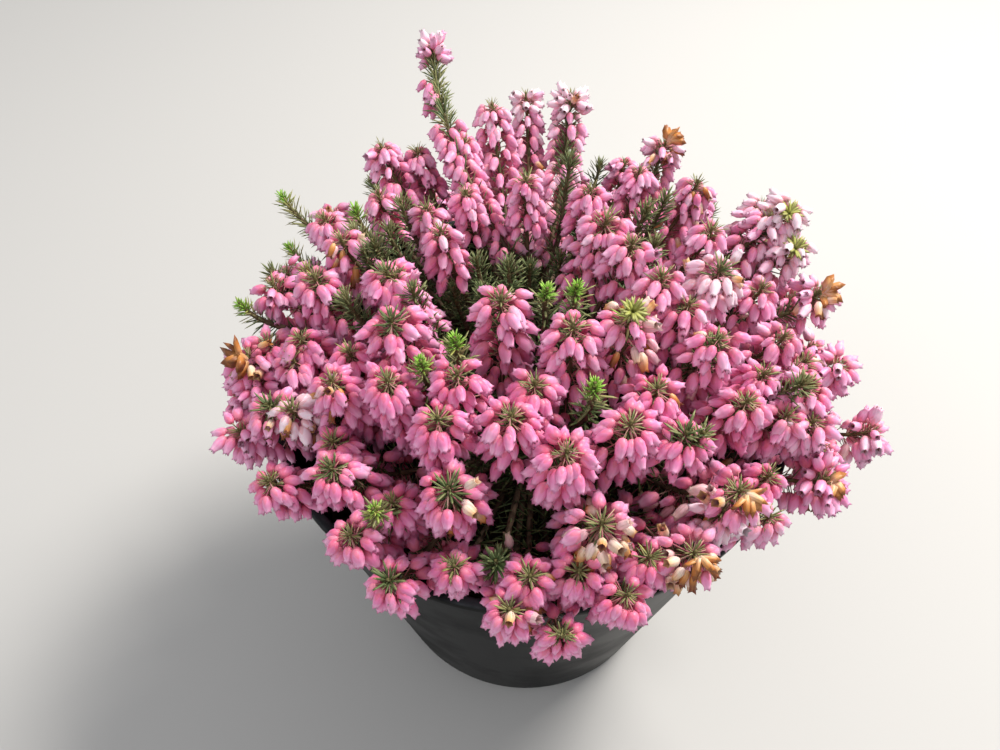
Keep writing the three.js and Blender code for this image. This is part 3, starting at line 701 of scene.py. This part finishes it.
def add_bells(heap, sp, per, depth):
    """Bells in whorls over a rod: each hangs from a short stalk, out at the tip and ever more downward below it.
    On a leaning rod they swing to its underside; the old ones gather on the side that the sun reaches."""
    length, spread = sp["entry"][3:5]
    faded, pale = (percent / 100 for percent in sp["entry"][5:])
    total, flat, facing, crowned = sp["at"][-1], sp["flat"], sp["facing"], sp["crowned"]
    rear = math.sin(math.radians(sp["key"][0]))
    back = rear > REAR
    behind = 0.4 * max(0.0, rear)
    span = (max(total - TUFT_LENGTH - length + 1.0, total - depth), total - TIP_GAP)
    s, turn = around(span, per + back, WHORL * (0.9 if back else 1.0))
    crown = around((span[1] - 2.6 - 3 * flat, span[1]), 5 + round(3 * flat), 2.0)
    s, turn = np.concatenate([s, crown[0]]), np.concatenate([turn, crown[1] + 0.5])
    n = len(s)
    s = s + rng.uniform(-SLIP, SLIP, n)
    turn = turn + rng.uniform(-SWAY, SWAY, n)
    p, w, u, v = along(sp, s)
    out = np.cos(turn)[:, None] * u + np.sin(turn)[:, None] * v
    keep = kept_bells(sp, s, out, span[0])
    s, p, w, u, out = s[keep], p[keep], w[keep], u[keep], out[keep]
    n = len(s)

    # Place and direction; near runs from 1 at the tip to 0 below the crown
    out = unit(out + (0.9 if facing else 0.5) * (np.array([0, 0, -1.0]) + w * w[:, 2:]))
    near = np.clip(1 - (span[1] - s) / CROWN_DEPTH, 0, 1)
    tip = near[:, None]
    down = unit(-w * 0.35 * (1 - flat) + np.array([0, 0, -0.8]))
    raised = 1.1 if sp["open"] else 0.5 + 0.35 * flat - 0.3 * facing
    fall = 1.3 + behind - raised * tip + rng.uniform(-TILT, TILT, (n, 1)) - 2.0 * crowned * tip**3
    axis = unit(out + down * fall + w * 0.8 * tip * flat + rng.normal(0, 0.18, (n, 3)))
    size = BELL * rng.uniform(BELL_LEAST, BELL_MOST, n) * (1 - 0.12 * near) * (1 - 0.35 * behind)
    stand = (spread - BELL * (0.64 + 0.28 * tip)) * (0.62 + 0.42 * rng.random((n, 1))) * (1 - 0.5 * behind)
    sunk = w * 2.0 * (1 - flat) * np.clip(out[:, 2:], 0, 1) * tip
    base = p + out * stand + w * (1.0 - 0.4 * tip + 1.8 * tip * flat) - sunk

    # Tone and age
    white = 0.45 * pale * near + 0.22 * crowned * near**2
    tones = np.clip(pale + white + rng.normal(0, 0.16, n), 0, 1)
    sunny = (out @ np.array(OLD_SIDES.get(sp["key"], SUN)) > 0.05) & (total - s < OLD_DEPTH)
    share = faded * (0.4 if faded < 0.06 else 1.0)
    old = rng.random(n) < np.where(sunny, 2.2 * share, 0.35 * share)
    ages = np.where(old, rng.uniform(0.25, 1.0, n), rng.uniform(0.0, 0.08, n))
    size = size * np.where(old, 0.88, 1.0)
    dry = old & (ages > DRY_AGE)
    gaping = (old & ~dry) | (rng.random(n) < 0.01 + 0.05 * pale)
    turned = gaping & sunny & (rng.random(n) < 0.6)
    axis[turned] = unit(out[turned] + w[turned] * 0.7 + rng.normal(0, 0.2, (int(turned.sum()), 3)))

    add_stalks(heap, p, base + axis * 0.2)
    pick = rng.integers(0, len(BELLS), n)
    fresh = ~dry & ~gaping
    chosen = [*((pick == i) & fresh for i in range(len(BELLS))), gaping, dry]
    for shape, m in zip([*BELLS, GAPING, WITHERED], chosen):
        repeat(heap, shape, base[m], axis[m], w[m] + 0.2 * u[m], size[m], tones[m], ages[m])
    if sp["key"] in BRONZED:
        add_fan(heap, sp)


def fill(tree, node, values):
    """A node with the given inputs linked to outputs or set."""
    for key, value in values.items():
        if isinstance(value, bpy.types.NodeSocket):
            tree.links.new(value, node.inputs[key])
        else:
            node.inputs[key].default_value = value
    return node


def wired(tree, kind, values, operation=None):
    """A new node of a kind with the given inputs."""
    node = tree.nodes.new(kind)
    if operation:
        node.operation = operation
    return fill(tree, node, values)


def grain_group():
    """Node group: noise over the object's coordinates, stretched by Stretch, as a mask and as a normal."""
    tree = bpy.data.node_groups.new("Grain", "ShaderNodeTree")
    inputs = {"Scale": 400.0, "Detail": 4.0, "Low": 0.35, "High": 0.65, "Bump": 0.2, "Depth": 0.0002}
    for name, value in {**inputs, "Stretch": (1.0, 1.0, 1.0)}.items():
        kind = "NodeSocketVector" if name == "Stretch" else "NodeSocketFloat"
        tree.interface.new_socket(name, in_out="INPUT", socket_type=kind).default_value = value
    tree.interface.new_socket("Mask", in_out="OUTPUT", socket_type="NodeSocketFloat")
    tree.interface.new_socket("Normal", in_out="OUTPUT", socket_type="NodeSocketVector")
    given = tree.nodes.new("NodeGroupInput").outputs
    where = tree.nodes.new("ShaderNodeTexCoord").outputs["Object"]
    scaled = wired(tree, "ShaderNodeVectorMath", {0: where, 1: given["Stretch"]}, "MULTIPLY").outputs[0]
    values = {"Vector": scaled, "Scale": given["Scale"], "Detail": given["Detail"]}
    noise = wired(tree, "ShaderNodeTexNoise", values).outputs["Fac"]
    values = {"Value": noise, "From Min": given["Low"], "From Max": given["High"]}
    mask = wired(tree, "ShaderNodeMapRange", values).outputs["Result"]
    values = {"Height": noise, "Strength": given["Bump"], "Distance": given["Depth"]}
    normal = wired(tree, "ShaderNodeBump", values).outputs["Normal"]
    wired(tree, "NodeGroupOutput", {"Mask": mask, "Normal": normal})
    return tree


GRAIN = grain_group()


class Shade:
    """A material and its nodes. Each step adds a node, whose inputs are outputs to link or plain values."""

    def __init__(self, name, roughness, specular):
        self.material = bpy.data.materials.new(name)
        self.material.use_nodes = True
        self.tree = self.material.node_tree
        self.shader = self.tree.nodes["Principled BSDF"]
        self.set(Roughness=roughness, Specular_IOR_Level=specular)

    def set(self, **values):
        """Inputs of the Principled node, by name with a low line for each space."""
        fill(self.tree, self.shader, {key.replace("_", " "): value for key, value in values.items()})

    def add(self, kind, values, operation=None):
        """The outputs of a new node."""
        return wired(self.tree, kind, values, operation).outputs

    def maths(self, operation, a, b=0.0):
        """A maths node of two values."""
        return self.add("ShaderNodeMath", {0: a, 1: b}, operation)[0]

    def times(self, a, b):
        """The product of two values."""
        return self.maths("MULTIPLY", a, b)

    def fit(self, value, low=0.0, high=1.0, to_low=0.0, to_high=1.0):
        """A value mapped from one range to another, held inside it."""
        values = {"Value": value, "From Min": low, "From Max": high, "To Min": to_low, "To Max": to_high}
        return self.add("ShaderNodeMapRange", values)["Result"]

    def mix(self, factor, a, b):
        """From one colour to another by a factor."""
        node = self.tree.nodes.new("ShaderNodeMix")
        node.data_type = "RGBA"
        a, b = ((*colour, 1) if isinstance(colour, tuple) else colour for colour in (a, b))
        return fill(self.tree, node, {0: factor, 6: a, 7: b}).outputs[2]

    def ramp(self, value, stops):
        """A colour from (position, colour) stops."""
        node = wired(self.tree, "ShaderNodeValToRGB", {0: value})
        elements = node.color_ramp.elements
        while len(elements) > 1:
            elements.remove(elements[-1])
        elements[0].position = stops[0][0]
        elements[0].color = (*stops[0][1], 1)
        for position, colour in stops[1:]:
            elements.new(position).color = (*colour, 1)
        return node.outputs[0]

    def grain(self, **values):
        """The mask and the normal of the Grain group with the given inputs."""
        node = self.tree.nodes.new("ShaderNodeGroup")
        node.node_tree = GRAIN
        return fill(self.tree, node, values).outputs[:2]

    def looks(self):
        """The look's tone and age, and the map's across and up."""
        attribute, uv = self.tree.nodes.new("ShaderNodeAttribute"), self.tree.nodes.new("ShaderNodeUVMap")
        attribute.attribute_name, uv.uv_map = "look", "Surface"
        look = self.add("ShaderNodeSeparateXYZ", {0: attribute.outputs["Vector"]})
        flat = self.add("ShaderNodeSeparateXYZ", {0: uv.outputs[0]})
        return [*look[1:3], *flat[:2]]

    def done(self, colour, normal=None):
        """The material with its colour and normal linked."""
        self.set(Base_Color=colour)
        if normal is not None:
            self.set(Normal=normal)
        return self.material


# Colours along the bells from foot to mouth, fresh and pale, and of the old ones by age
FRESH_PETAL = [
    (0.0, (0.84, 0.18, 0.34)), (0.25, (0.85, 0.18, 0.39)), (0.6, (0.85, 0.24, 0.49)), (0.88, (0.90, 0.42, 0.64)),
    (1.0, (0.79, 0.24, 0.46)),
]
PALE_PETAL = [
    (0.0, (0.87, 0.30, 0.48)), (0.3, (0.90, 0.44, 0.66)), (0.75, (0.93, 0.66, 0.82)), (1.0, (0.86, 0.5, 0.68)),
]
OLD_PETAL = [
    (0.25, (0.88, 0.62, 0.62)), (0.5, (0.85, 0.66, 0.52)), (0.72, (0.74, 0.40, 0.17)), (0.86, (0.56, 0.22, 0.05)),
    (1.0, (0.24, 0.08, 0.025)),
]
VEIN, WHITE, BLUSH = (0.50, 0.05, 0.22), (0.94, 0.80, 0.84), (0.92, 0.48, 0.66)
SEPAL, PALE_SEPAL = (0.74, 0.12, 0.20), (0.80, 0.34, 0.36)
# Brown streaks of old bells, and the dark red painted as shade inside the mouth
STREAK, THROAT_SHADE = (0.40, 0.17, 0.06), (0.20, 0.03, 0.05)
VEINS = 8
SEPALS = 4

# Colours of the needles by tone, of the young ones by age, and of the calyx by tone
GREEN_LEAF = [(0.0, (0.035, 0.065, 0.018)), (0.5, (0.062, 0.115, 0.035)), (1.0, (0.13, 0.19, 0.075))]
YOUNG_LEAF = [
    (0.0, (0.10, 0.17, 0.05)), (0.4, (0.34, 0.31, 0.14)), (0.55, (0.36, 0.34, 0.13)), (0.68, (0.46, 0.48, 0.11)),
    (0.8, (0.22, 0.46, 0.05)), (1.0, (0.31, 0.62, 0.06)),
]
LEAF_LINE, LEAF_TIP, LEAF_SHADE = (0.36, 0.42, 0.26), (0.34, 0.33, 0.13), (0.10, 0.12, 0.05)
CALYX_HUES = [(0.0, (0.42, 0.10, 0.13)), (0.5, (0.58, 0.16, 0.24)), (1.0, (0.55, 0.36, 0.28))]
CALYX_GREEN, CALYX_BROWN = (0.30, 0.26, 0.10), (0.34, 0.17, 0.06)
ANTHER_DARK, ANTHER_LIGHT = (0.08, 0.02, 0.02), (0.22, 0.08, 0.06)
BARK_DARK, BARK_LIGHT, BARK_GREEN = (0.055, 0.034, 0.022), (0.17, 0.115, 0.075), (0.14, 0.12, 0.045)
SOIL_DARK, SOIL_LIGHT, SOIL_FIBRE = (0.012, 0.008, 0.006), (0.055, 0.034, 0.021), (0.13, 0.085, 0.05)
POT_BLACK, POT_DUST = (0.004, 0.0045, 0.0044), (0.0095, 0.0098, 0.009)
# Pot scuffs, and the pale of the painted highlight along the lip
POT_SCUFF, POT_LIP_HIGHLIGHT = (0.07, 0.07, 0.065), (0.075, 0.082, 0.09)
POT_ROUGH = (0.36, 0.52)
# Millimetres under the pot's top where the lip's painted highlight starts and where it is full
LIP_HIGHLIGHT_FROM, LIP_HIGHLIGHT_FULL = 0.9, 0.2
STAGE_GREY = (0.52, 0.51, 0.495, 1)


def petal_material():
    """Petals: hot pink at the base, softer to the mouth, paler by tone, cream then brown by age, faintly veined;
    painted shade inside the mouth.
    """
    shade = Shade("Petal", 0.42, 0.4)
    maths, times, mix, fit = shade.maths, shade.times, shade.mix, shade.fit
    tone, age, across, up = shade.looks()
    old = shade.ramp(maths("ADD", age, times(maths("SUBTRACT", up, 0.5), 0.42)), OLD_PETAL)
    colour = mix(tone, shade.ramp(up, FRESH_PETAL), shade.ramp(up, PALE_PETAL))
    wave = maths("COSINE", times(across, VEINS * 2 * math.pi))
    colour = mix(times(maths("ADD", times(wave, 0.5), 0.5), 0.16), colour, VEIN)
    colour = mix(fit(tone, 0.62, 1.0, 0.0, 0.8), colour, WHITE)
    points = maths("ADD", times(maths("COSINE", times(across, SEPALS * 2 * math.pi)), 0.15), 0.3)
    sepal = fit(maths("SUBTRACT", points, up), -0.03, 0.03)
    colour = mix(times(sepal, 0.6), colour, mix(tone, SEPAL, PALE_SEPAL))
    patch, normal = shade.grain(Scale=900.0, Low=0.3, High=0.75, Bump=0.25, Depth=0.0001)
    colour = mix(times(patch, 0.22), colour, BLUSH)
    colour = mix(fit(age, 0.15, 0.4), colour, mix(times(times(wave, patch), 0.5), old, STREAK))
    # Painted shade: the inside of the mouth turned dark red
    colour = mix(fit(up, 1.05, 1.35), colour, THROAT_SHADE)
    shade.set(Subsurface_Weight=0.12, Subsurface_Radius=(0.002, 0.0008, 0.001), Subsurface_Scale=0.5)
    return shade.done(colour, normal)


def needle_material():
    """Needles: dark green with a pale line, lighter to the tip, lime to bronze where young, mottled."""
    shade = Shade("Needle", 0.5, 0.4)
    maths, times, mix = shade.maths, shade.times, shade.mix
    tone, age, across, up = shade.looks()
    much = maths("MINIMUM", times(age, 1.9), 1.0)
    colour = mix(much, shade.ramp(tone, GREEN_LEAF), shade.ramp(age, YOUNG_LEAF))
    line = maths("POWER", maths("ABSOLUTE", maths("SUBTRACT", times(across, 2.0), 1.0)), 6.0)
    colour = mix(times(line, 0.35), colour, LEAF_LINE)
    colour = mix(times(maths("POWER", up, 3.0), 0.35), colour, LEAF_TIP)
    patch, normal = shade.grain(Scale=1300.0, Low=0.35, High=0.7, Bump=0.3, Depth=0.00008)
    return shade.done(mix(times(patch, 0.25), colour, LEAF_SHADE), normal)


def calyx_material():
    """Sepals and stalks: pinkish red running to green, mottled."""
    shade = Shade("Calyx", 0.55, 0.35)
    tone, age, _, _ = shade.looks()
    patch, normal = shade.grain(Scale=1100.0, Low=0.4, High=0.65, Bump=0.2, Depth=0.00008)
    colour = shade.mix(shade.times(patch, 0.5), shade.ramp(tone, CALYX_HUES), CALYX_GREEN)
    return shade.done(shade.mix(shade.times(age, 0.7), colour, CALYX_BROWN), normal)


def anther_material():
    """Anthers: dark purple brown, speckled."""
    shade = Shade("Anther", 0.6, 0.3)
    patch, _ = shade.grain(Scale=1500.0)
    return shade.done(shade.mix(patch, ANTHER_DARK, ANTHER_LIGHT))


def bark_material():
    """Bark: grey brown, flaking in bands, rough, greener on the thin twigs."""
    shade = Shade("Bark", 0.85, 0.25)
    patch, normal = shade.grain(Scale=260.0, Stretch=(1.6, 1.6, 0.7), Low=0.35, High=0.62, Bump=0.7, Depth=0.0004)
    colour = shade.mix(patch, BARK_DARK, BARK_LIGHT)
    return shade.done(shade.mix(shade.looks()[1], colour, BARK_GREEN), normal)


def soil_material():
    """Compost: dark brown crumbs with lighter fibres."""
    shade = Shade("Compost", 0.95, 0.15)
    patch, normal = shade.grain(Scale=520.0, Detail=8.0, Low=0.38, High=0.66, Bump=0.8, Depth=0.0008)
    fibre, _ = shade.grain(Scale=160.0, Stretch=(5.0, 1.0, 1.0), Low=0.62, High=0.7)
    colour = shade.mix(patch, SOIL_DARK, SOIL_LIGHT)
    return shade.done(shade.mix(shade.times(fibre, 0.6), colour, SOIL_FIBRE), normal)


def pot_material():
    """Pot: near-black moulded plastic, with dull dust, pale scuffs drawn out round it and a painted highlight in
    patches along the lip.
    """
    shade = Shade("Pot", 0.55, 0.06)
    _, normal = shade.grain(Scale=1400.0, Detail=2.0, Bump=0.12, Depth=0.0001)
    dust, _ = shade.grain(Scale=45.0, Detail=6.0, Low=0.45, High=0.75)
    scuff, _ = shade.grain(Scale=210.0, Detail=3.0, Stretch=(0.5, 0.5, 2.2), Low=0.69, High=0.74)
    # Patches that break up the painted highlight on the lip
    lip_highlight_patches, _ = shade.grain(Scale=90.0, Detail=5.0, Low=0.3, High=0.62)
    height = shade.add("ShaderNodeSeparateXYZ", {0: shade.add("ShaderNodeTexCoord", {})["Object"]})["Z"]
    lip = shade.fit(height, (POT_HEIGHT - LIP_HIGHLIGHT_FROM) / 1000, (POT_HEIGHT - LIP_HIGHLIGHT_FULL) / 1000)
    colour = shade.mix(shade.times(dust, 0.5), POT_BLACK, POT_DUST)
    colour = shade.mix(shade.times(scuff, 0.35), colour, POT_SCUFF)
    # Painted highlight: pale along the lip's top, in patches
    colour = shade.mix(shade.times(lip_highlight_patches, lip), colour, POT_LIP_HIGHLIGHT)
    shade.set(Roughness=shade.fit(dust, 0.0, 1.0, *POT_ROUGH))
    return shade.done(colour, normal)


def revolve(profile, sides):
    """Rings of points (r, z) turned about the axis, as points and triangles facing out."""
    a = angles(sides)
    r, z = np.asarray(profile).T
    flat = np.broadcast_to(z[:, None], (len(r), sides))
    points = np.stack([r[:, None] * np.cos(a), r[:, None] * np.sin(a), flat], 2)
    return points.reshape(-1, 3), band_faces(len(profile), sides)


def rounded(corners, radius, steps=5):
    """A profile with each inner corner replaced by a quadratic curve that starts radius away from it."""
    corners = np.asarray(corners, float)
    out = [corners[0]]
    for a, b, c in zip(corners, corners[1:], corners[2:]):
        r = min(radius, np.linalg.norm(a - b) * 0.45, np.linalg.norm(c - b) * 0.45)
        p, q = b + unit(a - b) * r, b + unit(c - b) * r
        for t in np.linspace(0, 1, steps):
            out.append((1 - t) ** 2 * p + 2 * t * (1 - t) * b + t**2 * q)
    out.append(corners[-1])
    return np.array(out)


def drain_centre(k):
    """Centre of a drain hole."""
    return polar((k + 0.5) * 360 / DRAINS, DRAIN_RING, 0)


def floor_faces(outer, z, up):
    """A flat disc with the drain holes left out, from a constrained triangulation."""
    loops = [outer, *(circle(DRAIN_RADIUS, DRAIN_SIDES) + drain_centre(k)[:2] for k in range(DRAINS))]
    points, edges = [], []
    for loop in loops:
        first = len(points)
        points += [Vector((float(x), float(y))) for x, y in loop]
        edges += [(first + i, first + (i + 1) % len(loop)) for i in range(len(loop))]
    made, _, faces, *_ = delaunay_2d_cdt(points, edges, [], 0, 1e-7)
    flat = np.array([[p.x, p.y] for p in made])
    tris = np.array([f for f in faces if len(f) == 3])
    middle = flat[tris].mean(axis=1)
    keep = np.hypot(*middle.T) < np.hypot(*outer.T).max()
    for loop in loops[1:]:
        keep &= np.hypot(*(middle - loop.mean(axis=0)).T) > DRAIN_RADIUS * 0.97
    tris = tris[keep]
    e1, e2 = flat[tris[:, 1]] - flat[tris[:, 0]], flat[tris[:, 2]] - flat[tris[:, 0]]
    turned = (e1[:, 0] * e2[:, 1] - e1[:, 1] * e2[:, 0] > 0) != up
    tris[turned] = tris[turned][:, ::-1]
    return np.column_stack([flat, np.full(len(flat), z)]), tris


def make_pot(heap):
    """The pot: a rounded profile turned about the axis, with a floor that has drain holes."""
    band = POT_HEIGHT - RIM_BAND
    profile = [
        (BASE_RADIUS - FOOT_RADIUS, 0),
        (BASE_RADIUS - 0.3, 0.4),
        (wall_radius(FOOT_RADIUS), FOOT_RADIUS),
        (wall_radius(band - 0.6), band - 0.6),
        (RIM_RADIUS - 0.2, band),
        (RIM_RADIUS, POT_HEIGHT),
        (RIM_RADIUS - RIM_LIP, POT_HEIGHT),
        (wall_radius(band - 3) - WALL, band - 3),
        (wall_radius(FLOOR) - WALL, FLOOR),
        (FLOOR_RADIUS, FLOOR),
    ]
    heap.add(*revolve(rounded(profile, CORNER_ROUND), POT_SIDES))
    for radius, z, up in ((BASE_RADIUS - FOOT_RADIUS, 0, False), (FLOOR_RADIUS, FLOOR, True)):
        heap.add(*floor_faces(circle(radius, POT_SIDES), z, up))
    for k in range(DRAINS):
        points, faces = revolve([(DRAIN_RADIUS, FLOOR), (DRAIN_RADIUS, 0)], DRAIN_SIDES)
        heap.add(points + drain_centre(k), faces)


def make_soil(heap):
    """The compost: rings out to the wall whose height is a sum of sines, closed by a side and a flat bottom."""
    inner = wall_radius(SOIL_TOP) - WALL - 0.35
    r, t = np.meshgrid(np.linspace(0.8, inner, SOIL_RINGS), angles(SOIL_SIDES), indexing="ij")
    x, y = r * np.cos(t), r * np.sin(t)
    z = np.full_like(x, SOIL_TOP - 0.8)
    for scale, height in SOIL_WAVES:
        p = rng.uniform(0, 6.28, 4)
        ridges = np.sin(x * scale + p[0] + 1.3 * np.sin(y * scale * 0.8 + p[1]))
        z += height * (ridges * np.sin(y * scale + p[2] + 1.1 * np.sin(x * scale * 1.2 + p[3])))
    z = np.minimum(z, SOIL_TOP + 1.2) - 1.5 * np.clip((r - inner + 6) / 6, 0, 1)
    top = np.stack([x, y, z], 2).reshape(-1, 3)
    low = [(wall_radius(FLOOR + 4) - WALL - 0.4, FLOOR + 4), (wall_radius(FLOOR + 1) - WALL - 2.5, FLOOR + 0.4)]
    side, _ = revolve(low, SOIL_SIDES)
    points = np.concatenate([top, side, [[0, 0, float(z[0].mean())]], [[0, 0, FLOOR + 0.4]]])
    n = SOIL_RINGS + len(low)
    hub = n * SOIL_SIDES
    # The rings run outward and down, so the band and both fans face the other way
    cap, foot = fan_faces(0, SOIL_SIDES, hub, True), fan_faces(n - 1, SOIL_SIDES, hub + 1, False)
    heap.add(points, np.concatenate([band_faces(n, SOIL_SIDES)[:, ::-1], cap, foot]))


def add_twig(heap, sp):
    """A spike's twig: thick and brown at its root, thin and green at its tip."""
    line = sp["line"][((sp["line"] > LOW + 0.7) & (sp["line"] < HIGH - 0.7)).all(axis=1)]
    n = len(line)
    share = np.linspace(0, 1, n)
    look = np.stack([share, np.full(n, 0.5), np.clip(share * 1.6 - 0.7, 0, 1)], 1)
    look = np.concatenate([np.repeat(look, TWIG_SIDES, axis=0), look[:1], look[-1:]])
    tube(heap, line, 1.0 - 0.55 * share, TWIG_SIDES, 0, look)


def add_leaves(heap, sp):
    """A spike's needles: on the bare twig, between the bells and in the tuft at the tip."""
    total = sp["at"][-1]
    foot = total - sp["whole"]

    def row(start, end, *how):
        add_needles(heap, sp, (start, end), *how)

    if not sp["flowered"]:
        young = sp["entry"][4] / 100
        per, size, shapes = (8, 3.0, YOUNG) if young > BRIGHT else (6, 4.6, NEEDLES)
        lengths, ages = (size, size * 0.65), (0.85 * young, young)
        row(foot * 0.3, foot, 4, 2.4, (5, 6), (0.6, 0.6), (0.0, 0.05), 0.4)
        row(foot, total - 3.0, 6, 1.35, (5.6, 4.8), (0.6, 0.9), (0.05, 0.6 * young), 0.6)
        row(total - 3.6, total - 0.2, per, 0.75, lengths, (0.8, 2.6), ages, 0.85, shapes)
        return
    big = sp["leafy"]
    shapes = THREADS if big < BIG_TUFT else NEEDLES
    lime = LIME_SHIFT if sp["key"] in LIME_HEADS else 0.0
    ages = (0.34 + lime, 0.5 + lime) if big < BIG_TUFT or lime else (0.1, 0.34)
    row(foot * 0.4, foot, 4, 3.0, (5, 6.5), (0.6, 0.5), (0.0, 0.0), 0.35)
    row(foot, total - 4, 4, 3.4, (5.0, 4.6), (0.9, 0.9), (0.0, 0.05), 0.4)
    if lime:
        add_star(heap, sp)
    if sp["bare"]:
        row(total - 28, total - 3, 7, 1.2, (4.4, 3.6), (0.7, 0.9), (0.25, 0.55), 1.0)
    if sp["open"] or sp["strip"] > 0.5:
        row(total - 24, total - 3, 6, 1.7, (5.4, 4.6), (0.7, 0.9), (0.1, 0.3), 0.6)
    row(total - 4, total - 1.4, 6, 1.2, (3.9 * big, 3.7 * big), (0.4, 1.0), ages, 0.7, shapes)
    row(total - 1.4, total - 0.1, 5, 0.7, (3.3 * big, 2.4), (1.2, 3.0), ages, 0.8, shapes)


def settle(ob, slot, *nodes):
    """A finished piece: it rides on the root and stands for the given solids; the slot is not used."""
    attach(ob, "root")
    if nodes:
        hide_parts(*nodes)


# Pieces; each random value is drawn in this order
PETAL, CALYX, ANTHER = petal_material(), calyx_material(), anther_material()
NEEDLE, BARK = needle_material(), bark_material()
POT, SOIL = pot_material(), soil_material()

pot = Heap()
make_pot(pot)
settle(pot.mesh("pot_fine", [POT]), "pot", "pot")

soil = Heap()
make_soil(soil)
settle(soil.mesh("compost_fine", [SOIL]), "soil", "soil")

flowered, between, leafy = ([spike(entry) for entry in table] for table in (FLOWERED, BETWEEN, LEAFY))
branches = [Heap() for _ in range(BRANCHES)]
for number, heap in enumerate(branches):
    t = np.linspace(0, 1, STEM_STEPS)
    tube(heap, leader(number, t), STEM_RADIUS * (1.15 - 0.45 * t), STEM_SIDES, 0, (0, 0.5, 0.0))
for sp in [*flowered, *between, *leafy]:
    add_twig(branches[sp["branch"]], sp)
    add_leaves(branches[sp["branch"]], sp)
for number, heap in enumerate(branches):
    name = f"branch_{number + 1:02d}"
    settle(heap.mesh(name + "_fine", [BARK, NEEDLE]), name, name)

for number, sp in enumerate(flowered):
    name = f"bloom_{number + 1:02d}"
    heap = Heap()
    add_bells(heap, sp, 6, SHORT.get(sp["key"], INNER_DEPTH if sp["key"][1] < INNER_REACH else WHOLE))
    settle(heap.mesh(name + "_fine", [PETAL, CALYX, ANTHER]), name, name)
for number in range(BRANCHES):
    heap = Heap()
    for sp in between:
        if sp["branch"] == number:
            add_bells(heap, sp, 5, LOWER_DEPTH)
    if heap.count:
        settle(heap.mesh(f"lower_bells_{number + 1:02d}", [PETAL, CALYX, ANTHER]), "bloom_01")

# Stage
floor_mesh = bpy.data.meshes.new("floor")
corners = [(-STAGE, -STAGE, 0), (STAGE, -STAGE, 0), (STAGE, STAGE, 0), (-STAGE, STAGE, 0)]
floor_mesh.from_pydata(corners, [], [(0, 1, 2, 3)])
floor = placed("floor", floor_mesh)
floor_mesh.materials.append(Shade("Floor", 0.8, 0.2).done(STAGE_GREY))

bpy.context.scene.view_settings.view_transform = "Standard"
world = bpy.data.worlds.new("World")
bpy.context.scene.world = world
world.use_nodes = True
sky = world.node_tree.nodes["Background"]
sky.inputs[0].default_value = SKY_COLOUR
sky.inputs[1].default_value = SKY_STRENGTH


def lamp(name, place, energy, size, colour):
    """A soft square lamp aimed at the bush."""
    data = bpy.data.lights.new(name, "AREA")
    data.energy, data.size, data.color = energy, size, colour
    ob = placed(name, data)
    ob.location = place
    ob.rotation_euler = (LAMP_TARGET - ob.location).to_track_quat("-Z", "Y").to_euler()


lamp("Key", (0.55, 0.35, 0.95), energy=18, size=0.4, colour=(1.0, 0.97, 0.92))
lamp("Fill", (-0.8, -0.5, 0.7), energy=2.5, size=0.9, colour=(0.95, 0.97, 1.0))

# Camera: looking down on the bush from in front
camera = placed("Camera", bpy.data.cameras.new("Camera"))
camera.data.lens = LENS
camera.data.sensor_width = SENSOR
camera.data.clip_start = NEAREST
back = Vector((0, -math.cos(ELEVATION), math.sin(ELEVATION)))
camera.location = TARGET + back * DISTANCE
camera.rotation_euler = (-back).to_track_quat("-Z", "Y").to_euler()
bpy.context.scene.camera = camera
